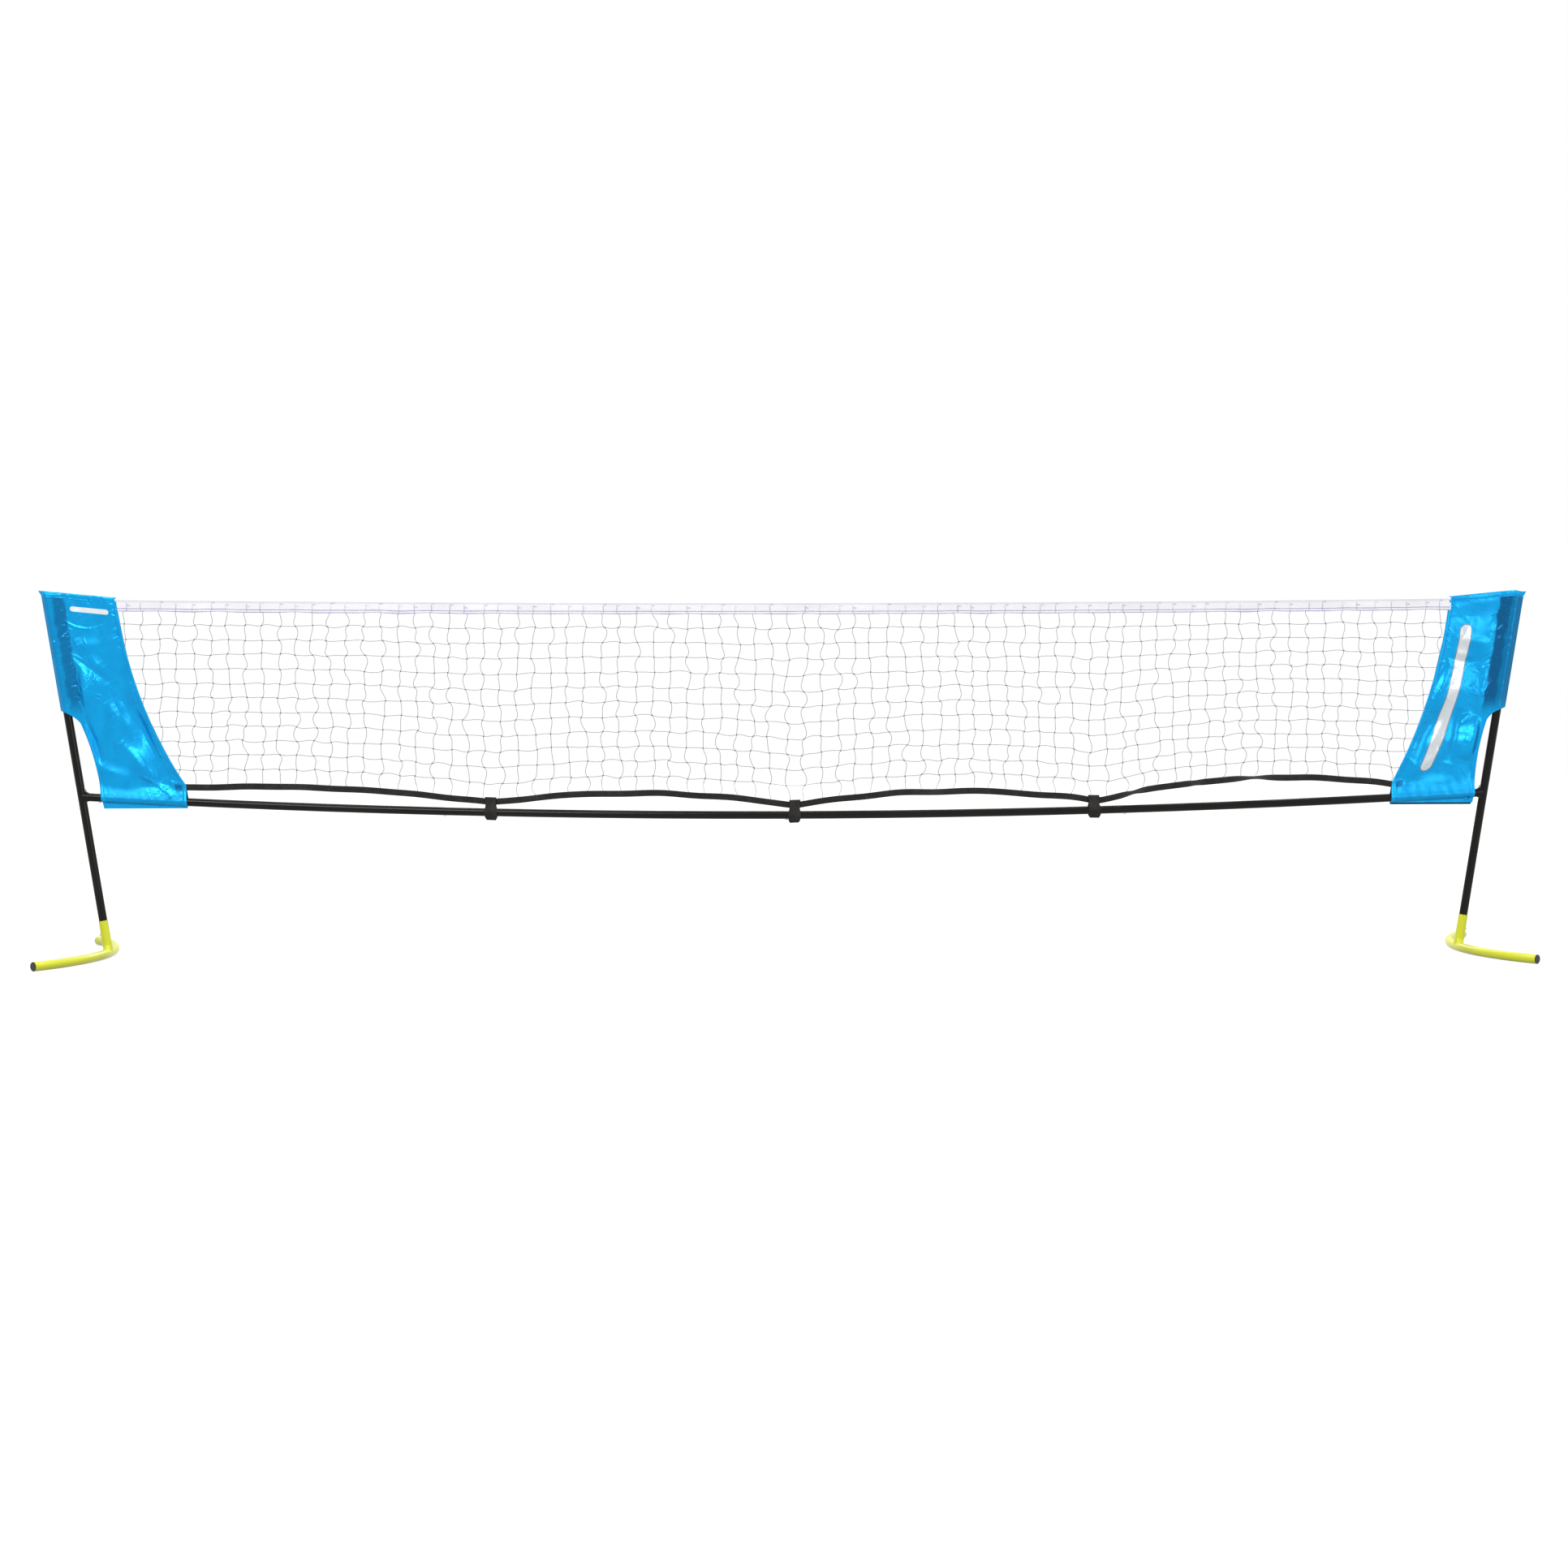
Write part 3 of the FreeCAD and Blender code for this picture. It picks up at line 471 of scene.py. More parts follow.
# %% [markdown]
# Powder coat is sprayed on dry and baked, which leaves a faint orange-peel skin under a soft gloss.
# The feet are a bright yellow green, and the posts and the bar are a deep gloss black with the odd
# handling scuff.  Both finishes share one recipe: a colour that drifts slightly, a roughness that
# drifts with the scuffs, and two sizes of bump.

# %% Powder coat
def powder_coat(name, colours, gloss, scuffed, coat, shine):
    """Baked powder coat: colours are the two ends of its slow change of tone, and its roughness
    goes from gloss to scuffed."""
    material, shader = new_material(name, Coat_Weight=coat, Coat_Roughness=0.15,
                                    Specular_IOR_Level=shine)
    drift = ramp(material, noise(material, 9.0, 4.0), 0.35, 0.65)
    link(material, blend_colours(material, drift, *colours), shader.inputs["Base Color"])
    scuffs = ramp(material, noise(material, 160.0, 8.0, 0.7), 0.55, 0.72, gloss, scuffed)
    link(material, scuffs, shader.inputs["Roughness"])
    peel = bump(material, noise(material, 420.0, 2.0), 0.0004, 0.22)
    grit = bump(material, noise(material, 2600.0, 2.0), 0.0001, 0.15, peel)
    link(material, grit, shader.inputs["Normal"])
    print("powder coat:", name)
    return material


foot_paint = powder_coat("foot paint", ((0.74, 0.77, 0.030, 1), (0.69, 0.73, 0.034, 1)),
                         gloss=0.30, scuffed=0.42, coat=0.10, shine=0.30)
black_paint = powder_coat("black paint", ((0.005, 0.0042, 0.0034, 1), (0.008, 0.007, 0.0055, 1)),
                          gloss=0.15, scuffed=0.24, coat=0.05, shine=0.13)


# %% [markdown]
# Plugs and caps are moulded plastic, with a fine leathery grain pressed in by the mould.  The snap
# buttons are plated steel, polished by the holes they slide in, and their springs are bare strip.

# %% Plastic and steel
def moulded_plastic(name, colour, worn):
    """Grained black plastic: small Voronoi cells for the grain, and greyer patches where it rubs."""
    material, shader = new_material(name, Roughness=0.55, Specular_IOR_Level=0.4)
    cells = read_at(material, node(material, "TexVoronoi", Scale=1500.0)).outputs["Distance"]
    rubbed = ramp(material, noise(material, 90.0, 5.0), 0.45, 0.7)
    link(material, blend_colours(material, rubbed, colour, worn), shader.inputs["Base Color"])
    link(material, bump(material, cells, 0.0002, 0.35), shader.inputs["Normal"])
    return material


def bright_metal(name, colour, low_rough, high_rough):
    """Metal whose gloss varies in fine scratches, and whose tone drifts to four fifths."""
    material, shader = new_material(name, Metallic=1.0)
    scratches = noise(material, 900.0, 6.0, 0.7)
    rough = ramp(material, scratches, 0.3, 0.7, low_rough, high_rough)
    link(material, rough, shader.inputs["Roughness"])
    darker = tuple(0.8 * c for c in colour[:3]) + (1,)
    tone = ramp(material, noise(material, 120.0), 0.3, 0.7)
    link(material, blend_colours(material, tone, colour, darker), shader.inputs["Base Color"])
    link(material, bump(material, scratches, 0.00005, 0.2), shader.inputs["Normal"])
    return material


black_plastic = moulded_plastic("black plastic", (0.022, 0.022, 0.021, 1), (0.050, 0.049, 0.047, 1))
button_metal = bright_metal("button metal", (0.62, 0.60, 0.56, 1), 0.18, 0.34)
spring_steel = bright_metal("spring steel", (0.30, 0.31, 0.33, 1), 0.28, 0.45)
braided_cord = finish("braided cord", ((0.80, 0.80, 0.82, 1), (0.62, 0.62, 0.66, 1)), (0.0, 1.0),
                      lambda material: bands(material, 260.0, 2.0), (0.0004, 0.6),
                      Roughness=0.7, Specular_IOR_Level=0.2)

FINISHES = (("foot_tube", foot_paint), ("foot_socket", foot_paint), ("foot_plugs", black_plastic),
            ("post_cap", black_plastic), ("post_right", black_paint), ("post_left", black_paint),
            ("t_socket", black_paint), ("bar_tube", black_paint), ("snap_button", button_metal),
            ("snap_spring", spring_steel), ("head_cord", braided_cord))
for start, material in FINISHES:
    for name in sorted(NODES):
        if name.startswith(start):
            for place in NODES[name].material_slots:
                place.material = material
print("finishes on the frame:", len(FINISHES))


# %% [markdown]
# A snap button sits on one leg of a V of spring strip inside the tube.  When it is pressed that leg
# bends with it, while the other leg stays on the far wall.  Here each spring is a copy of the frame's
# own, with its points merged and its faces turned outwards.

for joint in frame["joints"]:
    place = joint["name"].replace("press_", "")
    mesh = NODES["snap_spring_" + place].data.copy()
    merge_points(mesh, outwards=True)
    mesh.materials.clear()
    mesh.materials.append(spring_steel)
    spring = new_object("spring_strip_" + place, mesh)
    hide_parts("snap_spring_" + place)
    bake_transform(spring)


# %% [markdown]
# Each sleeve is one piece of satin polyester.  It is folded over the post, the two layers are
# sewn together 31 mm in from the post's axis, and again along the curved edge that takes the net.
# At the foot they part to close round the bar.  The shape is worked out as a half thickness h at each
# place: round a tube the cloth follows the tube, then runs straight to the seam, like a teardrop.

# %% How thick a sleeve is at each place
ROOM = 0.0008                # cloth to tube
POCKET_R = TUBE_R + ROOM
SEAM_REACH = 0.0310          # post's axis to the pocket's seam
BAR_REACH = 0.0340           # bar's axis to where the two layers meet above it
LEG_HALF = 0.0018            # half the closed legs under the bar
LAYER_HALF = 0.0004          # half of two layers that lie together


def teardrop(d, radius, seam):
    """Half thickness of cloth round a tube, d from its axis towards the seam: the circle
    sqrt(r^2 - d^2) as far as the tangent point r^2 / seam, then the tangent down to the seam."""
    circle = np.sqrt(np.clip(radius ** 2 - d ** 2, 0, None))
    tangent = np.clip(seam - d, 0, None) * radius / math.sqrt(seam ** 2 - radius ** 2)
    return np.where(d < radius ** 2 / seam, circle, tangent)


def circle_through(a, b, c):
    """Centre and radius of the circle through three points (x, z)."""
    d = 2 * (a[0] * (b[1] - c[1]) + b[0] * (c[1] - a[1]) + c[0] * (a[1] - b[1]))
    sa, sb, sc = (p[0] ** 2 + p[1] ** 2 for p in (a, b, c))
    x = (sa * (b[1] - c[1]) + sb * (c[1] - a[1]) + sc * (a[1] - b[1])) / d
    z = (sa * (c[0] - b[0]) + sb * (a[0] - c[0]) + sc * (b[0] - a[0])) / d
    return x, z, math.hypot(a[0] - x, a[1] - z)


def arc_x(z, a, b, c):
    """x at height z on the arc through three points, on the side of its centre where b lies."""
    x0, z0, r = circle_through(a, b, c)
    return x0 + math.copysign(1, b[0] - x0) * np.sqrt(np.clip(r ** 2 - (z - z0) ** 2, 0, None))


print("cloth round a tube stands %.1f mm off its axis" % (1000 * POCKET_R))


# %% [markdown]
# A sleeve's outline has few points: the slanted top hem, the curved inner edge, the foot, and the
# outer edge, which follows the pocket's fold down the post and then swings in to clear the corner of
# the frame.  The right sleeve has slid outwards a little and the left one inwards, so each has its
# own slip.  Both are worked out on the right-hand side, and the left one is mirrored at the end.

# %% A sleeve's outline
HEM_CORNER = (1.470, 0.790)
HEM_RISE = 0.0962            # rise of the top hem per metre outwards
SLEEVE_FOOT_Z = 0.328
HEM_FALL = (1.612, 1.634)    # past the post, where a slack top hem drops
POCKET_MOUTH_Z = 0.545       # lower end of the post's pocket
NET_CORNER_Z = 0.377         # lower corner of the inner edge
# band_shade and strip_shade set how strong the painted shade is beside the post and in front of it
SLEEVES = {"right": {"side": 1, "slip": 0.011, "fold": 0.0172, "front_lift": 0.004, "seed": 11,
                     "hem_drop": 0.005, "strip_shade": 0.70, "band_shade": 1.0},
           "left": {"side": -1, "slip": -0.011, "fold": 0.0135, "front_lift": 0.0, "seed": 42,
                    "hem_drop": 0.0, "strip_shade": 0.30, "band_shade": 0.73}}


def hem_z(x, drop):
    """Height of the top hem: a straight line that rises outwards, and falls by drop past the post."""
    return HEM_CORNER[1] + (x - HEM_CORNER[0]) * HEM_RISE - drop * smooth(x, *HEM_FALL)


def inner_x(z, slip):
    """Inner edge: one arc from the top to the net's lower corner, then straight down to the foot."""
    middle, corner, foot = (1.4205 + 0.3 * slip, 0.565), (1.3335 + slip, NET_CORNER_Z), 1.330 + slip
    curve = arc_x(np.maximum(z, NET_CORNER_Z), HEM_CORNER, middle, corner)
    down = foot + (corner[0] - foot) * (z - SLEEVE_FOOT_Z) / (NET_CORNER_Z - SLEEVE_FOOT_Z)
    return np.where(z > NET_CORNER_Z, curve, down)


def outer_x(z, slip, fold_out):
    """Outer edge: up from the foot, two arcs out to the pocket's mouth, then along the fold."""
    foot, bend = (1.5125 + slip, SLEEVE_FOOT_Z), (1.5175 + slip, 0.350)
    start, mouth, ear = (1.553 + 0.2 * slip, 0.516), (1.590, 0.5415), (1.612, 0.548)
    low = foot[0] + (bend[0] - foot[0]) * (z - foot[1]) / (bend[1] - foot[1])
    curve = arc_x(np.clip(z, bend[1], start[1]), bend, (1.530 + 0.6 * slip, 0.440), start)
    swing = arc_x(np.clip(z, start[1], mouth[1]), start, (1.571, 0.5335), mouth)
    out = mouth[0] + (ear[0] - mouth[0]) * (z - mouth[1]) / (ear[1] - mouth[1])
    edge = np.select([z < bend[1], z < start[1], z < mouth[1]], [low, curve, swing], out)
    return np.minimum(edge, post_x(z) + fold_out / math.cos(LEAN))


for height in (0.33, 0.40, 0.50, 0.53, 0.60, 0.79):
    print("at %.2f m a sleeve runs from %.3f to %.3f" % (
        height, inner_x(np.float64(height), 0.011), outer_x(np.float64(height), 0.011, 0.0172)))


# %% [markdown]
# The sleeve's surface is a grid.  Columns run from the inner edge to the fold, closer together
# towards the fold, where the cloth turns round the post.  Rows climb from the foot: a few on the
# closed legs, then round the bar by equal angles, straight up to where the layers meet, and on to the
# hem.  A point's height depends on its x, and its x on its height, so the two are settled in turns.

# %% A sleeve's grid
SLEEVE_COLUMNS = 144
CROWDING = 1.7               # power that crowds the columns towards the fold
LEG_ROWS, ROUND_ROWS, SLOPE_ROWS = 4, 16, 9
BODY_START = 0.040           # bar's axis to the first plain row
MOUTH_ROWS = (0.44, 0.52)    # share of the body where rows lie close, at the pocket's mouth
BODY_ROWS, CLOSE_ROWS = 196, 30
LOWEST_TURN = math.radians(-79)   # angle round the bar at which the legs part
SETTLING_TURNS = 14

leg_share = np.linspace(0, 1, LEG_ROWS, endpoint=False)
round_up = POCKET_R * np.sin(np.linspace(LOWEST_TURN, math.asin(POCKET_R / BAR_REACH), ROUND_ROWS))
slope_up = np.linspace(round_up[-1], BODY_START, SLOPE_ROWS)[1:-1]
body_share = np.union1d(np.linspace(0, 1, BODY_ROWS).round(4),
                        np.linspace(*MOUTH_ROWS, CLOSE_ROWS).round(4))
leg_rows = slice(0, LEG_ROWS)
tube_rows = slice(LEG_ROWS, LEG_ROWS + ROUND_ROWS + SLOPE_ROWS - 2)
body_rows = slice(tube_rows.stop, tube_rows.stop + len(body_share))


def sleeve_grid(slip, fold_out, hem_drop, leg_lift):
    """x and z of the sleeve's grid, rows by columns, settled by turns."""
    share = 1 - (1 - np.linspace(0, 1, SLEEVE_COLUMNS)) ** CROWDING
    x = np.full((body_rows.stop, SLEEVE_COLUMNS), 1.46)
    z = np.empty_like(x)
    for _ in range(SETTLING_TURNS):
        axis = bar_z(x)
        foot = SLEEVE_FOOT_Z + leg_lift
        z[leg_rows] = foot + leg_share[:, None] * (axis[leg_rows] + round_up[0] - foot)
        z[tube_rows] = axis[tube_rows] + np.concatenate([round_up, slope_up])[:, None]
        low = axis[body_rows] + BODY_START
        z[body_rows] = low + body_share[:, None] * (hem_z(x[body_rows], hem_drop) - low)
        near = inner_x(z, slip)
        x = near + (outer_x(z, slip, fold_out) - near) * share
    return x, z


print("rows of a sleeve: %d, columns: %d" % (body_rows.stop, SLEEVE_COLUMNS))


# %% [markdown]
# Satin shows every pull.  Each sleeve has three lists of folds: start, end, how far it bows, width
# and height.  Swells are broad and soft, and a valley is a swell of negative height.  Creases are
# narrow and crisp, where the cloth is dragged towards a corner.  Crinkles are short strokes where it
# has been crushed.  Swells move both layers, towards the front.  Creases and crinkles lift only the
# front layer, and the back one has ripples of its own.

# %% Folds of each sleeve, in metres
SWELLS = {
    "left": [((1.566, 0.690), (1.470, 0.700), 0.010, 0.0150, 0.0032),
             ((1.565, 0.674), (1.456, 0.589), 0.008, 0.0090, -0.0046),
             ((1.548, 0.660), (1.516, 0.480), 0.004, 0.0160, 0.0070),
             ((1.546, 0.529), (1.507, 0.425), -0.004, 0.0080, -0.0050),
             ((1.485, 0.600), (1.366, 0.392), -0.008, 0.0180, -0.0120),
             ((1.462, 0.660), (1.428, 0.560), -0.004, 0.0120, 0.0040),
             ((1.470, 0.480), (1.388, 0.374), -0.004, 0.0130, 0.0050),
             ((1.530, 0.430), (1.440, 0.392), 0.003, 0.0140, 0.0028)],
    "right": [((1.560, 0.683), (1.476, 0.694), -0.004, 0.0120, 0.0040),
              ((1.574, 0.655), (1.470, 0.655), 0.010, 0.0100, -0.0044),
              ((1.556, 0.640), (1.540, 0.530), 0.004, 0.0110, 0.0040),
              ((1.536, 0.524), (1.505, 0.428), 0.006, 0.0150, 0.0085),
              ((1.500, 0.540), (1.470, 0.420), 0.004, 0.0120, -0.0070),
              ((1.548, 0.500), (1.536, 0.400), -0.004, 0.0060, -0.0026),
              ((1.478, 0.650), (1.432, 0.560), 0.004, 0.0100, 0.0042),
              ((1.470, 0.560), (1.392, 0.420), -0.002, 0.0140, -0.0070),
              ((1.450, 0.450), (1.372, 0.384), 0.003, 0.0110, 0.0036)]}
CREASES = {
    "left": [((1.584, 0.741), (1.498, 0.731), 0.0135, 0.0026, 0.0026),
             ((1.616, 0.697), (1.594, 0.688), -0.001, 0.0018, 0.0014),
             ((1.429, 0.404), (1.354, 0.358), -0.003, 0.0026, 0.0030),
             ((1.378, 0.411), (1.346, 0.410), 0.001, 0.0018, 0.0018),
             ((1.366, 0.351), (1.343, 0.361), 0.000, 0.0022, 0.0018),
             ((1.500, 0.509), (1.478, 0.531), 0.002, 0.0022, 0.0024),
             ((1.572, 0.668), (1.528, 0.640), -0.003, 0.0030, 0.0018),
             ((1.552, 0.560), (1.528, 0.478), 0.003, 0.0034, 0.0016)],
    "right": [((1.520, 0.529), (1.499, 0.507), 0.002, 0.0024, 0.0022),
              ((1.500, 0.526), (1.522, 0.529), 0.002, 0.0022, 0.0020),
              ((1.590, 0.728), (1.574, 0.712), 0.001, 0.0018, 0.0016),
              ((1.524, 0.584), (1.536, 0.558), 0.003, 0.0026, 0.0026),
              ((1.566, 0.610), (1.540, 0.570), 0.003, 0.0026, 0.0018),
              ((1.482, 0.770), (1.500, 0.744), 0.002, 0.0022, 0.0016),
              ((1.396, 0.366), (1.352, 0.372), 0.002, 0.0024, 0.0016)]}
CRINKLES = {
    "left": [((1.541, 0.714), (1.535, 0.687), 0.003, 0.0016, 0.0014),
             ((1.530, 0.641), (1.519, 0.644), -0.002, 0.0015, 0.0015),
             ((1.524, 0.630), (1.514, 0.603), 0.004, 0.0016, 0.0016),
             ((1.520, 0.615), (1.512, 0.608), 0.001, 0.0014, 0.0012),
             ((1.521, 0.583), (1.502, 0.577), 0.003, 0.0016, 0.0018),
             ((1.512, 0.534), (1.490, 0.562), -0.004, 0.0017, 0.0017),
             ((1.508, 0.572), (1.512, 0.556), 0.002, 0.0015, 0.0014),
             ((1.484, 0.506), (1.470, 0.504), 0.001, 0.0014, 0.0012)],
    "right": [((1.519, 0.625), (1.538, 0.619), 0.002, 0.0016, 0.0017),
              ((1.515, 0.590), (1.534, 0.606), -0.002, 0.0016, 0.0017),
              ((1.515, 0.576), (1.534, 0.569), 0.002, 0.0016, 0.0016),
              ((1.530, 0.640), (1.544, 0.630), 0.002, 0.0015, 0.0014),
              ((1.508, 0.545), (1.518, 0.560), 0.002, 0.0016, 0.0014),
              ((1.494, 0.518), (1.502, 0.508), 0.001, 0.0015, 0.0013)]}
TOP_ROUND = 0.0065           # top of the pocket, where the cloth closes over the post's cap
EAR_REACH, EAR_HEIGHT = 0.0045, 0.011
BUTTON_ROOM = 0.0011         # cloth to the head of the snap button under each sleeve
BAND = (-0.035, -0.030, -0.013, -0.006)   # band of painted shade beside the post, off its axis
TAB_LONG, TAB_HALF, TAB_Z = 0.0245, 0.0066, 0.3735   # webbing's end between the layers
TAB_LIFT = 0.0014            # half thickness of the sleeve over it
BACK_RIPPLE, FINE_RIPPLE = 0.0034, 0.00012
HEM_SEAM_IN = 0.006          # inner edge to where its puckers start
BAR_SHADE = 0.25             # strength of the painted shade in front of the bar
print("swells, creases and crinkles:", [sum(len(folds[name]) for name in SLEEVES)
                                        for folds in (SWELLS, CREASES, CRINKLES)])


# %% Puckers and crumple
def puckers(x, z, seed, start_of, low, high, pitch, reach, width, height):
    """Short ridges that set out from a seam: start_of(z) is the seam's x, and each ridge runs
    inwards by about reach and a little down, with seeded places, lengths and heights."""
    random = np.random.default_rng(seed)
    total = np.zeros_like(x)
    at = low
    while at < high:
        length = reach * random.uniform(0.3, 1.5)
        start = (float(start_of(np.float64(at))), at)
        end = (start[0] + math.copysign(length, reach), at - abs(length) * random.uniform(-0.6, 1.2))
        total += fold(x, z, start, end, 0.0, width * random.uniform(0.6, 1.2),
                      height * random.uniform(0.1, 1.3))
        at += pitch * random.uniform(0.25, 2.2)
    return total


def crumple(x, z, seed):
    """Crisp ridges along the pull, in patches: (1 - |ripples|)^5 of waves squeezed across the line
    from the pocket's top to the net's lower corner, times a patchy mask."""
    along, across = 0.53 * x + 0.85 * z, 0.85 * x - 0.53 * z
    ridge = np.clip(1 - np.abs(ripples(across, 0.35 * along, 0.045, seed, spread=1.4)), 0, 1) ** 5
    return ridge * smooth(ripples(x, z, 0.10, seed + 1), -0.2, 1.2)


def pocket_seam(z):
    """x of the seam that closes the pocket round the post."""
    return post_x(z) - SEAM_REACH / math.cos(LEAN)


def sleeve_pulls(name, face, x, z, slack):
    """Everything that stands off one face of a sleeve: folds, puckers at its seams and crumple."""
    spec = SLEEVES[name]
    seed = spec["seed"] + (0 if face == "front" else 500)
    if face == "front":
        total = sum(fold(x, z, *one) for one in CREASES[name] + CRINKLES[name])
    else:
        total = BACK_RIPPLE * ripples(x, z, 0.060, seed, spread=1.2)

    def hem_seam(height):
        """x of the inner hem's seam."""
        return inner_x(height, spec["slip"]) + HEM_SEAM_IN

    # each seam: its lowest and highest pucker, their pitch, reach, width and height
    for number, seam in enumerate(((pocket_seam, 0.555, 0.775, 0.021, -0.018, 0.0019, 0.0021),
                                   (pocket_seam, 0.560, 0.780, 0.018, 0.010, 0.0018, 0.0011),
                                   (hem_seam, 0.36, 0.785, 0.0110, 0.011, 0.0015, 0.0014))):
        total += puckers(x, z, seed + 1 + number, *seam)
    total += slack * (0.0011 * crumple(x, z, seed + 7) + 0.0014 * ripples(x, z, 0.075, seed + 6))
    return total + FINE_RIPPLE * ripples(x, z, 0.016, seed + 4) * (1 + ripples(x, z, 0.09, seed + 5))


print("puckers start %.1f mm from the post's axis" % (1000 * SEAM_REACH))


# %% Thickness and shade of a sleeve
def sleeve_half(x, z, spec):
    """Half the sleeve's thickness: round the post, round the bar, and round the button under it."""
    off_post, over_bar = from_post(x, z), z - bar_z(x)
    post_half = np.where(off_post < 0, teardrop(-off_post, POCKET_R, SEAM_REACH),
                         teardrop(off_post, POCKET_R, spec["fold"]))
    bar_half = np.maximum(teardrop(over_bar, POCKET_R, BAR_REACH),
                          np.where(over_bar < 0, LEG_HALF, 0))
    low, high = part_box("snap_button_bar_%s_end" % ("right" if spec["side"] > 0 else "left"))
    head_r = (high.x - low.x) / 2 + BUTTON_ROOM
    off_head = np.abs(x) - abs(low.x + high.x) / 2
    head = np.sqrt(np.clip(head_r ** 2 - off_head ** 2, 0, None))
    head = head * smooth(z, low.z - 0.0025, low.z - 0.0008) * (over_bar < 0)
    half = soft_max(soft_max(post_half, np.maximum(bar_half, head), 0.0012), LAYER_HALF, 0.0006)
    under_hem = hem_z(x, spec["hem_drop"]) - z
    half *= np.sqrt(1 - (1 - np.clip(under_hem / TOP_ROUND, 0, 1)) ** 2)
    return np.maximum(half, LAYER_HALF), np.maximum(post_half, bar_half)


def pocket_shade(x, z, spec):
    """Painted shade: 0 on the web, band_shade in the band beside the post, strip_shade in front."""
    off_post = from_post(x, z) + 0.0022 * ripples(x, z, 0.035, spec["seed"] + 30)
    band = smooth(off_post, BAND[0], BAND[1])
    on_post = smooth(off_post, BAND[2], BAND[3])
    shade = spec["band_shade"] * (1 - on_post) + spec["strip_shade"] * on_post
    return band * shade * smooth(z, 0.520, 0.570)


print("the cloth over the button is %.1f mm clear of it" % (1000 * BUTTON_ROOM))


# %% The two faces of each sleeve
def sleeve_sheet(name, spec):
    """Front and back points of a sleeve, its pattern coordinates and its painted shade."""
    slip, layers = spec["slip"], {}
    for face, lift in (("front", spec["front_lift"]), ("back", 0.004 - spec["front_lift"])):
        x, z = sleeve_grid(slip, spec["fold"], spec["hem_drop"], lift)
        off_post, over_bar = from_post(x, z), z - bar_z(x)
        from_net = x - inner_x(z, slip)
        from_edge = outer_x(z, slip, spec["fold"]) - x
        under_hem = hem_z(x, spec["hem_drop"]) - z
        half, round_tube = sleeve_half(x, z, spec)

        # swells and long ripples shift both layers, where the cloth is slack
        slack = smooth(-off_post, SEAM_REACH - 0.004, SEAM_REACH + 0.014)
        slack *= smooth(over_bar, 0.020, 0.045)
        swells = sum(fold(x, z, *one) for one in SWELLS[name])
        middle = 0.0030 * ripples(x, z, 0.13, spec["seed"]) - swells
        middle *= slack * smooth(from_net, 0.000, 0.022) * smooth(from_edge, 0.000, 0.012)
        middle *= smooth(under_hem, 0.004, 0.030)

        # the layers lie flat, and far enough apart, over the end of the webbing
        off_tab = np.abs(z - TAB_Z) - TAB_HALF
        over_end = TAB_LONG - from_net
        middle *= 1 - smooth(over_end + 0.012, 0, 0.012) * smooth(0.012 - off_tab, 0, 0.010)
        over_tab = TAB_LIFT * smooth(over_end + 0.004, 0, 0.003) * smooth(0.004 - off_tab, 0, 0.003)

        # folds and puckers stand off each layer, but never let it touch a tube or the other layer
        off_edge = np.minimum(from_net, from_edge + 0.01 * (z > POCKET_MOUTH_Z))
        near_edge = smooth(off_edge, 0.0, 0.012)
        pulls = sleeve_pulls(name, face, x, z, slack) * (0.25 + 0.75 * near_edge)
        least = np.where(round_tube > 0.004, half - 0.0003, np.maximum(over_tab, LAYER_HALF))
        stand = np.maximum(half + pulls, np.where(over_bar < -TUBE_R, half, least))
        y = middle - stand if face == "front" else middle + stand

        # the top hem's outer corner sticks out a little; painted shade darkens the cloth
        # beside and in front of the post, in front of the bar and over the webbing's end
        ear = EAR_REACH * smooth(EAR_HEIGHT - under_hem, 0, EAR_HEIGHT)
        ear *= smooth(off_post, 0.004, spec["fold"])
        bar_shade_mask = smooth(TUBE_R + 0.0012 - np.abs(over_bar), 0, 0.002)
        tab = smooth(over_end, 0, 0.001) * smooth(from_net, 0.0, 0.001) * smooth(-off_tab, 0, 0.001)
        points = np.stack([x + ear, y, z], -1)
        points[..., 0] *= spec["side"]
        shade = np.maximum(pocket_shade(x, z, spec), BAR_SHADE * bar_shade_mask)
        layers[face] = {"points": points, "cloth": np.stack([from_net, z], -1), "x": x, "z": z,
                        "tab": tab, "shade": shade}

    # on the fold the two layers share their last column
    front, back = layers["front"], layers["back"]
    fold_row = front["x"][:, -1] > post_x(front["z"][:, -1]) + spec["fold"] * 0.99
    meet = (front["points"][fold_row, -1] + back["points"][fold_row, -1]) / 2
    meet[:, 1] = 0.0
    front["points"][fold_row, -1] = back["points"][fold_row, -1] = meet
    return layers


sleeve_layers = {name: sleeve_sheet(name, spec) for name, spec in SLEEVES.items()}
print("sleeve grid:", sleeve_layers["right"]["front"]["points"].shape)


# %% [markdown]
# Satin's gloss comes from long floats of yarn that all lie one way.  Here a noise stretched along
# the sleeve stands for them.  Painted shade darkens the cloth in a band beside each post, in front
# of the post and the bar, and over the end of the foot webbing.  The only print is a plain silver
# stripe on one face of each sleeve and a small white bar on the other, drawn as the distance from a
# line in the cloth's own coordinates.

# %% Satin's colours, its painted shade and its print
SATIN, SATIN_DEEP = (0.003, 0.365, 0.770, 1), (0.002, 0.300, 0.670, 1)
# colour of the painted shade on the satin
SATIN_PAINTED_SHADE = (0.001, 0.075, 0.213, 1)
SILVER, SILVER_EDGE = (0.62, 0.65, 0.67, 1), (0.16, 0.25, 0.33, 1)
WHITE_INK = (0.80, 0.84, 0.87, 1)
RIM = 0.0006                 # soft outer edge of a print
RIM_INSIDE = (-0.0022, -0.0016)   # where the rim's colour gives way to the ink


